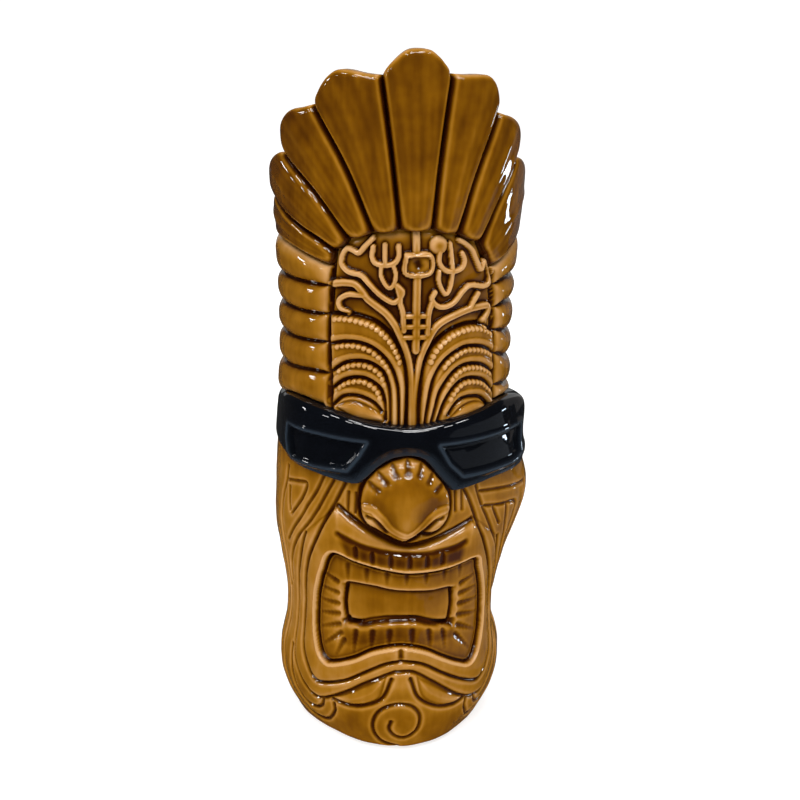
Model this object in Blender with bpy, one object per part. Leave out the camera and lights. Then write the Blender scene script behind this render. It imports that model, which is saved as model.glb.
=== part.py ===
"""Tall carved-style tiki mug: a hollow fired-clay vessel with its relief pieces laid on it.

Positions on the surface are given as (arc, height) in millimetres. Arc is the angle about the
vertical axis times UNIT_RADIUS, 0 at the middle of the face and positive to the viewer's right.
The face looks along -Y, +Z is up, and the origin is the middle of the foot on the table.
"""

import math

import bpy
import numpy as np
from mathutils import Vector
from mathutils.geometry import delaunay_2d_cdt

MM = 0.001
UNIT_RADIUS = 36.0
BACK_ARC = math.pi * UNIT_RADIUS

# The underlying form: half-width, depth to the front and depth to the back at each height.
HALF_WIDTH = (
    (0, 30.5), (8, 33.8), (16, 35.8), (24, 35.8), (34, 34), (44, 34), (56, 36), (66, 37.5),
    (78, 37.5), (100, 36.5), (112, 35.5), (150, 36), (172, 37.5), (216, 38.5),
)
FRONT_DEPTH = (
    (0, 35.5), (8, 38.5), (18, 39.5), (30, 38.5), (44, 36.5), (60, 37.5), (75, 37.5),
    (90, 37), (104, 36.5), (120, 36), (150, 36), (172, 36.5), (216, 39),
)
BACK_DEPTH = (
    (0, 30), (8, 33), (16, 34), (30, 33.5), (44, 34), (60, 35), (78, 36), (112, 36),
    (150, 36), (172, 36.5), (216, 38),
)
# Exponent of the front outline: 2 is an ellipse and less is more pointed, as at the chin.
FRONT_POWER = ((0, 1.7), (20, 1.8), (50, 1.95), (80, 2.1), (110, 2.1), (216, 2.0))
RIGHT_CHEEK = 5.8  # how far the right cheek stands past the left one

SEAM = 0.2  # each piece stops this far short of the line it shares with its neighbour
WALL_OUT = -2.3  # outer face of the vessel, from the underlying form
WALL_IN = -6.2  # inner face of the vessel
SKIN_IN = -1.8  # inner face of every piece laid on the vessel
FLOOR_UNDER = 2.4
FLOOR_TOP = 8.0
FOOT_THICK = 2.0

# Height of the vessel's rim around the half turn from the face to the back.
RIM = ((0, 208), (9, 205), (18, 203), (26, 194), (34, 184), (44, 173), (56, 164), (70, 159.5),
       (90, 158.5), (BACK_ARC, 158.5))

GLAZE = dict(name="amber_glaze", colour=(0.32, 0.12, 0.006), roughness=0.12)
DARK_GLAZE = dict(name="black_glaze", colour=(0.004, 0.005, 0.008), roughness=0.08)
BARE_CLAY = dict(name="bare_clay", colour=(0.58, 0.50, 0.40), roughness=0.85)


def ease(t):
    """Smoothly from 0 to 1 as t goes from 0 to 1."""
    t = np.clip(t, 0, 1)
    return t * t * (3 - 2 * t)


def along(value, table):
    """The table's value at these positions, on a smooth curve through its points."""
    x = np.array([row[0] for row in table], float)
    y = np.array([row[1] for row in table], float)
    value = np.clip(np.asarray(value, float), x[0], x[-1])
    slope = np.gradient(y, x)
    i = np.clip(np.searchsorted(x, value, side="right") - 1, 0, len(x) - 2)
    h = x[i + 1] - x[i]
    t = (value - x[i]) / h
    return (
        y[i] * (1 + 2 * t) * (1 - t) ** 2
        + h * slope[i] * t * (1 - t) ** 2
        + y[i + 1] * t * t * (3 - 2 * t)
        + h * slope[i + 1] * t * t * (t - 1)
    )


def form_radius(arc, height):
    """Radius of the underlying form at this arc and height."""
    arc = np.asarray(arc, float)
    arc = arc - 2 * BACK_ARC * np.floor((arc + BACK_ARC) / (2 * BACK_ARC))
    angle = arc / UNIT_RADIUS
    side = np.abs(np.sin(angle)) / along(height, HALF_WIDTH)
    forward = np.cos(angle)
    front = forward > 0
    depth = np.where(front, along(height, FRONT_DEPTH), along(height, BACK_DEPTH))
    power = np.where(front, along(height, FRONT_POWER), 2.0)
    radius = (side**power + (np.abs(forward) / depth) ** power) ** (-1.0 / power)
    cheek = ease((arc - 24) / 30) * ease((BACK_ARC - arc) / 40)
    return radius + RIGHT_CHEEK * cheek * np.exp(-(((np.asarray(height) - 79) / 14.5) ** 2))


def place(arc, height, out):
    """Points in metres at this arc and height, this far out from the underlying form."""
    angle = np.asarray(arc, float) / UNIT_RADIUS
    radius = form_radius(arc, height) + out
    height = np.asarray(height, float) + np.zeros_like(radius)
    return np.stack([radius * np.sin(angle), -radius * np.cos(angle), height], -1) * MM


def smooth(points, step):
    """A Catmull-Rom curve through the points, with its ends kept, at about this spacing."""
    p = np.array(points, float)
    if len(p) > 2:
        ends = np.vstack([2 * p[0] - p[1], p, 2 * p[-1] - p[-2]])
        t = np.linspace(0, 1, 12, endpoint=False)[:, None]
        runs = []
        for a, b, c, d in zip(ends, ends[1:], ends[2:], ends[3:]):
            bend = 2 * a - 5 * b + 4 * c - d + t * (3 * (b - c) + d - a)
            runs.append(b + 0.5 * t * (c - a + t * bend))
        p = np.vstack(runs + [p[-1:]])
    length = np.concatenate([[0], np.cumsum(np.linalg.norm(np.diff(p, axis=0), axis=1))])
    count = max(2, int(round(length[-1] / step)) + 1)
    at = np.linspace(0, length[-1], count)
    return np.stack([np.interp(at, length, p[:, k]) for k in (0, 1)], -1)


def outline(*curves, step=4.0):
    """One closed outline, counter-clockwise, from curves that follow one another."""
    points = []
    for curve in curves:
        for point in smooth(curve, step):
            if not points or np.linalg.norm(point - points[-1]) > 0.6:
                points.append(point)
    while np.linalg.norm(points[0] - points[-1]) < 0.6:
        points.pop()
    points = np.array(points)
    x, y = points.T
    area = np.sum(x * np.roll(y, -1) - np.roll(x, -1) * y)
    return points if area > 0 else points[::-1]


def inset(points, gap):
    """The counter-clockwise outline moved inwards by the gap."""
    before = points - np.roll(points, 1, axis=0)
    after = np.roll(points, -1, axis=0) - points
    before /= np.linalg.norm(before, axis=1)[:, None]
    after /= np.linalg.norm(after, axis=1)[:, None]
    normal = np.stack([-(before + after)[:, 1], (before + after)[:, 0]], -1)
    normal /= np.maximum(np.linalg.norm(normal, axis=1), 1e-6)[:, None]
    lean = np.maximum(np.sum(normal * np.stack([-after[:, 1], after[:, 0]], -1), axis=1), 0.5)
    return points + normal * (gap / lean)[:, None]


def inside(points, polygon):
    x, y = np.asarray(points, float).T[:, :, None]
    x0, y0 = polygon.T
    x1, y1 = np.roll(polygon, -1, axis=0).T
    cross = (y0 > y) != (y1 > y)
    rise = np.where(y1 == y0, 1e-9, y1 - y0)
    return np.sum(cross & (x < x0 + (x1 - x0) * (y - y0) / rise), axis=1) % 2 == 1


def edge_distance(points, polygons):
    """Distance from each point to the nearest edge of any of the outlines."""
    best = np.full(len(points), np.inf)
    for polygon in polygons:
        a, b = polygon, np.roll(polygon, -1, axis=0)
        ab = b - a
        ap = points[:, None] - a
        t = np.clip(np.sum(ap * ab, axis=2) / np.sum(ab * ab, axis=1), 0, 1)
        best = np.minimum(best, np.linalg.norm(ap - t[..., None] * ab, axis=2).min(axis=1))
    return best


def fill(polygon, holes, step):
    """Points and triangles that fill the outline round its holes."""
    low, high = polygon.min(axis=0), polygon.max(axis=0)
    rows = np.arange(low[1] + step / 2, high[1], step * 0.87)
    grid = [
        (x, y)
        for k, y in enumerate(rows)
        for x in np.arange(low[0] + step / 2 * (1 + k % 2), high[0], step)
    ]
    grid = np.array(grid).reshape(-1, 2)
    keep = inside(grid, polygon) & (edge_distance(grid, [polygon] + holes) > step * 0.55)
    for hole in holes:
        keep &= ~inside(grid, hole)
    loops = [polygon] + holes
    points = np.vstack(loops + [grid[keep]])
    edges = []
    start = 0
    for loop in loops:
        n = len(loop)
        edges += [(start + i, start + (i + 1) % n) for i in range(n)]
        start += n
    found = delaunay_2d_cdt([Vector(p) for p in points], edges, [], 0, 1e-4)
    points = np.array([tuple(v) for v in found[0]])
    faces = np.array([tuple(f) for f in found[2]])
    middle = points[faces].mean(axis=1)
    keep = inside(middle, polygon)
    for hole in holes:
        keep &= ~inside(middle, hole)
    return points, faces[keep]


def add_object(name, points, faces, finish):
    mesh = bpy.data.meshes.new(name)
    mesh.from_pydata([tuple(p) for p in points], [], [tuple(int(i) for i in f) for f in faces])
    mesh.validate()
    mesh.polygons.foreach_set("use_smooth", [True] * len(mesh.polygons))
    material = bpy.data.materials.new(f"{name}_{finish['name']}")
    material.use_nodes = True
    shader = material.node_tree.nodes["Principled BSDF"]
    shader.inputs["Base Color"].default_value = (*finish["colour"], 1.0)
    shader.inputs["Roughness"].default_value = finish["roughness"]
    shader.inputs["Metallic"].default_value = 0.0
    mesh.materials.append(material)
    thing = bpy.data.objects.new(name, mesh)
    bpy.context.scene.collection.objects.link(thing)
    return thing


def laid_piece(name, edge, low=-0.6, rise=1.6, soft=2.5, step=4.0, under=SKIN_IN, holes=(),
               finish=GLAZE, swell=None):
    """A pillowed piece of clay over the outline: low at its edge, rising to its middle."""
    edge = inset(edge, SEAM)
    holes = [inset(hole, -SEAM) for hole in holes]
    flat, faces = fill(edge, holes, step)
    reach = edge_distance(flat, [edge] + holes)
    out = low + rise * (1 - np.exp(-reach / soft))
    if swell is not None:
        out = out + swell(flat[:, 0], flat[:, 1])
    top = place(flat[:, 0], flat[:, 1], out)
    bottom = place(flat[:, 0], flat[:, 1], under)
    n = len(flat)
    sides = {}
    for a, b, c in faces:
        for pair in ((a, b), (b, c), (c, a)):
            if pair[::-1] in sides:
                del sides[pair[::-1]]
            else:
                sides[pair] = True
    walls = [(b, a, a + n) for a, b in sides] + [(b, a + n, b + n) for a, b in sides]
    faces = [*faces, *(faces[:, ::-1] + n), *walls]
    return add_object(name, np.vstack([top, bottom]), faces, finish)


def rim_height(arc):
    return along(np.abs(arc), RIM)


def lofted(name, rings, finish):
    """A closed solid through rings of points, from a closed first ring to a closed last ring."""
    count = len(rings[0])
    points = [p for ring in rings for p in ring]
    faces = []
    for r in range(len(rings) - 1):
        for i in range(count):
            j = (i + 1) % count
            a, b = r * count + i, r * count + j
            faces.append((a, b, b + count, a + count))
    first, last = len(points), len(points) + 1
    points.append(np.mean(rings[0], axis=0))
    points.append(np.mean(rings[-1], axis=0))
    top = (len(rings) - 1) * count
    for i in range(count):
        j = (i + 1) % count
        faces.append((first, j, i))
        faces.append((last, top + i, top + j))
    return add_object(name, points, faces, finish)


def build_vessel():
    """The hollow body: out from under the floor, up the outside, over the rim and down inside."""
    arc = np.arange(56) / 56 * 2 * BACK_ARC - BACK_ARC
    rim = rim_height(arc)
    heights = (FLOOR_UNDER, 6, 11, 17, 23, 28, 34, 40, 48, 56, 64, 74, 88, 100, 112, 126, 140)
    rings = [place(arc, FLOOR_UNDER, -12.0), place(arc, FLOOR_UNDER, -5.0)]
    rings += [place(arc, h, WALL_OUT) for h in heights]
    rings.append(place(arc, 0.5 * (140 + rim), WALL_OUT))
    rings.append(place(arc, rim - 1.0, WALL_OUT))
    rings.append(place(arc, rim, 0.5 * (WALL_OUT + WALL_IN)))
    rings.append(place(arc, rim - 1.0, WALL_IN))
    rings.append(place(arc, 0.5 * (140 + rim), WALL_IN))
    rings += [place(arc, h, WALL_IN) for h in (140, 120, 100, 80, 60, 40, 22, FLOOR_TOP + 4)]
    rings.append(place(arc, FLOOR_TOP, WALL_IN - 4.0))
    lofted("vessel_body", rings, GLAZE)


def build_foot():
    arc = np.arange(48) / 48 * 2 * BACK_ARC - BACK_ARC
    rings = [
        place(arc, 0.0, -4.0) * (1, 1, 0),
        place(arc, 0.6, -3.2),
        place(arc, FOOT_THICK, -3.2),
    ]
    lofted("foot_plate", rings, BARE_CLAY)


# Lines that neighbouring pieces share, as (arc, height).
ARCH = [(-23.6, 158), (-18.7, 161.8), (-11.5, 164.1), (-3.7, 165), (6, 165), (14, 163.6),
        (22, 160.5), (25.3, 156.5)]
LEAF_LINES_LEFT = (
    [(-3.7, 165), (-6.2, 186), (-9.3, 208.8)],
    [(-11.5, 164.1), (-19.7, 183.3), (-29.8, 200)],
    [(-18.7, 161.8), (-30, 175), (-43.4, 184.8)],
    [(-23.6, 158), (-28, 160.5), (-34.3, 163), (-41.6, 165.8), (-49, 168.8), (-55.6, 171)],
)
LEAF_LINES_RIGHT = (
    [(6, 165), (7.6, 186), (9.9, 209.4)],
    [(14, 163.6), (19.3, 181), (26.2, 198.4)],
    [(22, 160.5), (28.6, 172), (37.4, 184)],
)
LEAF_BASE_LEFT = [(-24.8, 153.2), (-32, 154.9), (-41, 156.8), (-50, 157.8), (-63, 158.4)]
LEAF_BASE_RIGHT = [(27.2, 152.4), (32, 153.6), (39.5, 156.2), (46, 158.6), (52, 159.6),
                   (59, 159.8)]
TIP_CENTRE = [(-9.3, 208.8), (-7.4, 211.6), (-5, 214.2), (-2.4, 215.8), (0.4, 216), (3.5, 215.8),
              (5.8, 214.3), (7.4, 212.6), (9.9, 209.4)]
TIPS_LEFT = (
    [(-9.3, 208.8), (-13.7, 209.2), (-18.4, 210), (-21.6, 209.9), (-24.2, 208.3),
     (-26.4, 205.8), (-28.1, 203), (-29.8, 200)],
    [(-29.8, 200), (-33, 198.9), (-38.2, 197.8), (-41.4, 196), (-43.6, 193.6), (-44.2, 191),
     (-44, 188), (-43.4, 184.8)],
    [(-43.4, 184.8), (-47.6, 184.2), (-52.6, 182.2), (-56.2, 179.6), (-58, 176), (-57.6, 173),
     (-55.6, 171)],
    [(-55.6, 171), (-59.6, 170), (-62.8, 167.4), (-64, 163), (-63, 158.4)],
)
TIPS_RIGHT = (
    [(9.9, 209.4), (14, 209.1), (18, 209.1), (21.2, 208.8), (23.4, 207.3), (24.9, 205),
     (25.8, 202.2), (26.2, 198.4)],
    [(26.2, 198.4), (28.8, 197.4), (32.2, 196.6), (35.4, 195.1), (37.4, 193), (38.2, 190.4),
     (38, 187.4), (37.4, 184)],
    [(37.4, 184), (42.4, 183.6), (47.4, 181.8), (51.6, 178), (55, 172.4), (58, 166), (59, 159.8)],
)
PANEL_LEFT = [(-23.6, 158), (-24.6, 151), (-25.5, 138), (-25.2, 126), (-24.2, 118), (-23.6, 111)]
PANEL_RIGHT = [(25.3, 156.5), (28.6, 149), (30.8, 141), (31.8, 130), (32.2, 118), (32.2, 110.6)]
GLASSES_TOP = [(-58, 110), (-46, 111), (-36.4, 111.3), (-27, 110.6), (-18, 109.2), (-10, 107.6),
               (0.7, 106.5), (11.6, 107.8), (21, 109.2), (32, 110.4), (44, 110), (58, 108.6)]
GLASSES_UNDER_LEFT = [(-58, 91), (-48, 90.4), (-40, 90.2), (-29, 89.6), (-16, 88)]
GLASSES_ARCH = [(-16, 88), (-12, 91), (-9, 94.7), (-4.9, 97.8), (0.4, 98.8), (4.4, 97.5),
                (6.7, 95), (9.4, 90.6), (12.3, 86.8), (14, 85.4)]
GLASSES_UNDER_RIGHT = [(14, 85.4), (21, 86), (29, 86.8), (40, 87), (48, 87.5), (58, 89)]
MOUTH_LEFT = [(-18, 87.8), (-21, 82), (-25.4, 73.8), (-29.9, 64.5), (-33, 56), (-36, 44.5),
              (-37.4, 33)]
MOUTH_RIGHT = [(18, 85.3), (21.2, 77.7), (26.1, 66.7), (30, 58.5), (34, 50), (37, 41), (38, 33)]
TEETH_LEFT = [(-29.5, 46), (-28.2, 51.5), (-25.9, 57.5), (-24, 61.5), (-21.9, 64.7)]
TEETH_TOP = [(-21.9, 64.7), (-14.3, 63.1), (-4.5, 60.7), (2, 59.9), (11.6, 60.4), (21.9, 62)]
TEETH_RIGHT = [(21.9, 62), (24, 58), (27, 51.2), (28.7, 46)]
TEETH_LOW_LEFT = [(-29.5, 46), (-29.8, 40.5), (-29.1, 34.9), (-27.2, 30.5), (-24.4, 28.3)]
TEETH_LOW = [(-24.4, 28.3), (-15.3, 31.1), (-9.2, 34.6), (-1.7, 36.4), (5.3, 35.2), (11.7, 31.6),
             (21.7, 27.2)]
TEETH_LOW_RIGHT = [(21.7, 27.2), (25.2, 30.1), (28.4, 36), (29.1, 41), (28.7, 46)]
TONGUE_TOP = [(-19.6, 46), (-18.2, 51.5), (-16.9, 55.9), (-9.2, 55.5), (0.7, 53.9), (14.6, 53.5),
              (15.6, 50), (15.8, 46)]
TONGUE_LOW = [(-19.6, 46), (-19, 42), (-9.2, 44), (-1, 45), (8, 43), (14.6, 41.2), (15.8, 46)]
LIP_LOW = [(-37.4, 33), (-39.3, 26), (-37.5, 19.4), (-31.2, 14.2), (-26.5, 14.5), (-18.2, 18.9),
           (-11.7, 23.2), (-5, 26.9), (0, 28), (4, 26.6), (8.4, 23.7), (15.8, 18.2), (22.9, 14.4),
           (29.7, 14), (36, 19), (39, 26), (38, 33)]
NOSE_EDGE = [(-11.6, 88.6), (-12.9, 84.6), (-12.9, 80.5), (-11.2, 77), (-8, 75), (-4.5, 72.2),
             (-1, 71.2), (1.6, 72.6), (3.3, 74.4), (6, 73.4), (9, 75.2), (11.3, 79), (11.6, 84),
             (9.6, 88)]
NOSE_TOP = [(9.6, 88), (6, 93), (3.4, 96), (0, 97.4), (-4, 96.4), (-8.5, 93), (-11.6, 88.6)]
SIDE_ARC = 88.0

RIDGE_LINES_LEFT = (147.2, 138.1, 129.5, 120.4)
RIDGE_LINES_RIGHT = (147.0, 140.0, 132.6, 124.4, 116.6)


def crest_leaf(name, foot, tip, first, second):
    """One leaf between its foot, its two side lines and its tip."""
    edge = outline(foot, second, tip[::-1], first[::-1])
    laid_piece(name, edge, low=0.2, rise=1.9, soft=2.2)


def build_crest():
    """Eight overlapping leaves that fan up from the arch over the brow."""
    crest_leaf("crest_leaf_centre", ARCH[3:5], TIP_CENTRE, LEAF_LINES_LEFT[0], LEAF_LINES_RIGHT[0])
    for k in (1, 2, 3):
        crest_leaf(f"crest_leaf_left_{k}", ARCH[3 - k : 5 - k], TIPS_LEFT[k - 1][::-1],
                   LEAF_LINES_LEFT[k], LEAF_LINES_LEFT[k - 1])
    crest_leaf("crest_leaf_left_4", [LEAF_BASE_LEFT[0], ARCH[0]], TIPS_LEFT[3][::-1],
               LEAF_BASE_LEFT, LEAF_LINES_LEFT[3])
    for k in (1, 2):
        crest_leaf(f"crest_leaf_right_{k}", ARCH[3 + k : 5 + k], TIPS_RIGHT[k - 1],
                   LEAF_LINES_RIGHT[k - 1], LEAF_LINES_RIGHT[k])
    crest_leaf("crest_leaf_right_3", [*ARCH[-2:], LEAF_BASE_RIGHT[0]], TIPS_RIGHT[2],
               LEAF_LINES_RIGHT[2], LEAF_BASE_RIGHT)


def panel_side(line, high, low):
    """The part of a panel edge between two heights."""
    curve = smooth(line, 0.5)
    run = curve[(curve[:, 1] <= high) & (curve[:, 1] >= low)]
    return [(float(a), float(h)) for a, h in run[:: max(1, len(run) // 4)]] + [tuple(run[-1])]


def build_ridges():
    """Rounded coils round the sides of the head, from the brow panel to the plain back."""
    look = dict(low=-1.0, rise=2.8, soft=1.7)
    for side, lines, sign in (
        ("left", RIDGE_LINES_LEFT, -1),
        ("right", RIDGE_LINES_RIGHT, 1),
    ):
        panel = PANEL_LEFT if sign < 0 else PANEL_RIGHT
        top = LEAF_BASE_LEFT if sign < 0 else LEAF_BASE_RIGHT
        upper = [*top, (sign * 74, 159), (sign * SIDE_ARC, 159)]
        levels = [top[0][1], *lines, 110.8]
        for k in range(len(lines) + 1):
            inner = panel_side(panel, levels[k], levels[k + 1])
            if k == 0:
                inner[0] = top[0]
            else:
                upper = [(inner[0][0], levels[k]), (sign * SIDE_ARC, levels[k])]
            if k == len(lines):
                lower = temple_top(sign)
                inner[-1] = lower[0]
            else:
                lower = [(inner[-1][0], levels[k + 1]), (sign * SIDE_ARC, levels[k + 1])]
                inner[-1] = lower[0]
            back = [upper[-1], lower[-1]]
            edge = outline(upper, back, lower[::-1], inner[::-1])
            laid_piece(f"side_ridge_{side}_{k + 1}", edge, **look)


def temple_top(sign):
    """Upper edge of the glasses from the brow panel round to the end of the arm."""
    edge = [p for p in GLASSES_TOP if sign * p[0] > 33 or (sign < 0 and p[0] < -26)]
    edge = sorted(edge, key=lambda p: sign * p[0])
    first = PANEL_LEFT[-1] if sign < 0 else PANEL_RIGHT[-1]
    return [first] + edge + [(sign * 72, 108), (sign * SIDE_ARC, 106)]


def temple_under(sign):
    first = GLASSES_UNDER_LEFT[0] if sign < 0 else GLASSES_UNDER_RIGHT[-1]
    return [first, (sign * 66, 95), (sign * 78, 98.6), (sign * SIDE_ARC, 100)]


def ribbon(path, width):
    """Outline of a strip of this width along the path, narrowing at its ends."""
    line = smooth(path, 2.2)
    way = np.gradient(line, axis=0)
    way /= np.linalg.norm(way, axis=1)[:, None]
    normal = np.stack([-way[:, 1], way[:, 0]], -1)
    taper = np.sin(np.linspace(0.16, math.pi - 0.16, len(line))) ** 0.35
    half = 0.5 * width * taper[:, None]
    points = np.vstack([line + normal * half, (line - normal * half)[::-1]])
    x, y = points.T
    area = np.sum(x * np.roll(y, -1) - np.roll(x, -1) * y)
    return points if area > 0 else points[::-1]


RAISED = dict(low=0.9, rise=0.9, soft=0.9, step=3.0, under=0.35)
BAND_WIDTH = 2.8
STROKE_WIDTH = 2.2
# Centre lines of the beaded bands that fan out from the middle of the brow.
BANDS_LEFT = (
    [(-22.6, 133.2), (-17, 134), (-12, 132.8), (-7.2, 129.4), (-4.2, 125), (-2.4, 119),
     (-1.8, 111)],
    [(-22.4, 126.6), (-17, 128.4), (-12, 127.6), (-8, 124.6), (-5.6, 120.6), (-4.4, 115),
     (-4.3, 110)],
    [(-22, 120.2), (-17, 122.8), (-12.5, 122.8), (-9.2, 120.6), (-7.2, 117), (-6.6, 112)],
    [(-21.6, 115.2), (-17, 117.6), (-12.6, 117.2), (-9.6, 114.6), (-8, 111)],
)
BANDS_RIGHT = (
    [(29.4, 129), (24, 131.8), (18, 132.2), (12.4, 129.8), (8, 125.8), (5.2, 120.4), (4, 111)],
    [(29.2, 123.2), (24, 126), (18.6, 126.4), (13.6, 123.8), (10, 120), (8, 115.4), (7.4, 111)],
    [(29, 117.8), (24.4, 120.6), (19, 121.2), (14.6, 118.8), (11.8, 115.6), (10.4, 111)],
    [(28, 112.6), (24, 115.4), (19.4, 116.2), (15.6, 114.2), (13.6, 111)],
)
SCROLL_LEFT = [(-11.9, 161.6), (-15, 159), (-18.5, 158.4), (-20.6, 155.5), (-19.4, 152.2),
               (-15, 151.2), (-11, 147.7), (-6.6, 144)]
SCROLL_RIGHT = [(14.4, 160.4), (17.4, 160), (20.6, 156.4), (22.6, 152.4), (25.6, 151),
                (25.2, 147.4), (20.6, 147), (16.4, 145.2), (12, 142.4)]
ARM_LEFT = [(-23, 147.6), (-17.5, 148.2), (-13.4, 144.4), (-8.6, 140.6), (-4.6, 136)]
ARM_RIGHT = [(8.2, 136), (13, 138.6), (19, 140.2), (26, 140.4), (29.4, 139.6)]


def build_brow():
    """The brow panel with its stem, scrolls, arms and beaded bands."""
    under = [p for p in GLASSES_TOP if -20 < p[0] < 25]
    edge = outline(
        PANEL_LEFT[::-1], ARCH, PANEL_RIGHT, [PANEL_RIGHT[-1]] + under[::-1] + [PANEL_LEFT[-1]]
    )
    laid_piece("brow_panel", edge, low=-0.9, rise=0.9, soft=1.5, step=4.5)
    stem = ribbon([(1.7, 163.2), (1.8, 150), (1.8, 138), (1.5, 122), (1.2, 109)], 2.6)
    laid_piece("brow_stem", stem, **RAISED)
    for name, path in (
        ("brow_scroll_left", SCROLL_LEFT),
        ("brow_scroll_right", SCROLL_RIGHT),
        ("brow_arm_left", ARM_LEFT),
        ("brow_arm_right", ARM_RIGHT),
    ):
        laid_piece(name, ribbon(path, STROKE_WIDTH), **RAISED)
    for side, bands in (("left", BANDS_LEFT), ("right", BANDS_RIGHT)):
        for k, path in enumerate(bands):
            laid_piece(f"brow_band_{side}_{k + 1}", ribbon(path, BAND_WIDTH), **RAISED)


LENS_LEFT = [(-39.2, 102.6), (-25.5, 102.4), (-11.9, 101.7), (-14, 97.5), (-17, 93), (-27, 92.6),
             (-37, 92.6), (-39.4, 98)]
LENS_RIGHT = [(8.6, 100.6), (25, 101), (42.6, 101), (41, 92), (36, 90.9), (15.4, 90.8),
              (11.6, 94.8)]


def build_glasses():
    """Wrap-round glasses: one frame with two sunken lenses, and an arm on each side."""
    edge = outline(
        GLASSES_TOP, [GLASSES_TOP[-1], GLASSES_UNDER_RIGHT[-1]], GLASSES_UNDER_RIGHT[::-1],
        GLASSES_ARCH[::-1], GLASSES_UNDER_LEFT[::-1], [GLASSES_UNDER_LEFT[0], GLASSES_TOP[0]],
    )
    lenses = [outline(*zip(points, points[1:] + points[:1]), step=5.0)
              for points in (LENS_LEFT, LENS_RIGHT)]
    laid_piece(
        "glasses_frame", edge, low=2.2, rise=1.6, soft=1.2, holes=lenses, finish=DARK_GLAZE
    )
    for side, lens in zip(("left", "right"), lenses):
        laid_piece(
            f"glasses_lens_{side}", lens, low=0.9, rise=0.5, soft=2.0, step=5.0, finish=DARK_GLAZE
        )
    for side, sign in (("left", -1), ("right", 1)):
        top = temple_top(sign)[-3:]
        under = temple_under(sign)
        edge = outline(top, [top[-1], under[-1]], under[::-1], [under[0], top[0]])
        laid_piece(f"glasses_arm_{side}", edge, low=1.4, rise=1.4, soft=1.2, finish=DARK_GLAZE)


def nose_swell(arc, height):
    """A round bridge and tip, with a wing each side."""
    tip = 5.2 * np.exp(-(((arc + 0.8) / 6.0) ** 2) - ((height - 83) / 7.0) ** 2)
    wings = sum(
        2.6 * np.exp(-(((arc - at) / 3.2) ** 2) - ((height - 79.5) / 4.2) ** 2)
        for at in (-8.6, 7.4)
    )
    return tip + wings


def build_face():
    edge = outline(NOSE_EDGE, NOSE_TOP, step=3.0)
    laid_piece("nose", edge, low=0.2, rise=1.8, soft=1.8, step=3.0, swell=nose_swell)
    nose_lip = [(-13.8, 87), (-13.5, 84), (-13.4, 80.3), (-11.6, 76.6), (-8.2, 74.6),
                (-4.8, 71.8), (-1, 70.7), (2, 72), (3.3, 73.6), (6, 72.8), (9.4, 74.7),
                (11.8, 78.8), (12.2, 82.6)]
    edge = outline(
        MOUTH_LEFT[::-1], [(-18, 87.8), (-15.6, 87.3)], nose_lip,
        [(12.6, 84.2), (14.6, 84.6), (18, 85.3)], MOUTH_RIGHT, [(38, 33), (27.4, 33.6)],
        [(27.4, 33.6), (29.1, 40), (28.7, 46)], TEETH_RIGHT[::-1], TEETH_TOP[::-1],
        TEETH_LEFT[::-1], [(-29.5, 46), (-29.8, 40.5), (-28.6, 33.8)], [(-28.6, 33.8), (-37.4, 33)],
    )
    laid_piece("upper_lip", edge, low=-0.5, rise=2.4, soft=2.4)
    edge = outline(
        LIP_LOW, [(38, 33), (27.4, 33.6)], [(27.4, 33.6), (25.2, 30.1), (21.7, 27.2)],
        TEETH_LOW[::-1], [(-24.4, 28.3), (-27.2, 30.5), (-28.6, 33.8)], [(-28.6, 33.8), (-37.4, 33)],
    )
    laid_piece("lower_lip", edge, low=-0.5, rise=2.4, soft=2.4)
    edge = outline(
        TEETH_LEFT, TEETH_TOP, TEETH_RIGHT, [(28.7, 46), (15.8, 46)], TONGUE_TOP[::-1],
        [(-19.6, 46), (-29.5, 46)],
    )
    laid_piece("teeth_upper", edge, low=-1.0, rise=1.6, soft=1.2)
    edge = outline(
        TEETH_LOW_LEFT, TEETH_LOW, TEETH_LOW_RIGHT, [(28.7, 46), (15.8, 46)], TONGUE_LOW[::-1],
        [(-19.6, 46), (-29.5, 46)],
    )
    laid_piece("teeth_lower", edge, low=-1.0, rise=1.6, soft=1.2)
    laid_piece("tongue", outline(TONGUE_TOP, TONGUE_LOW[::-1]), low=-1.2, rise=1.0, soft=1.5)


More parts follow.
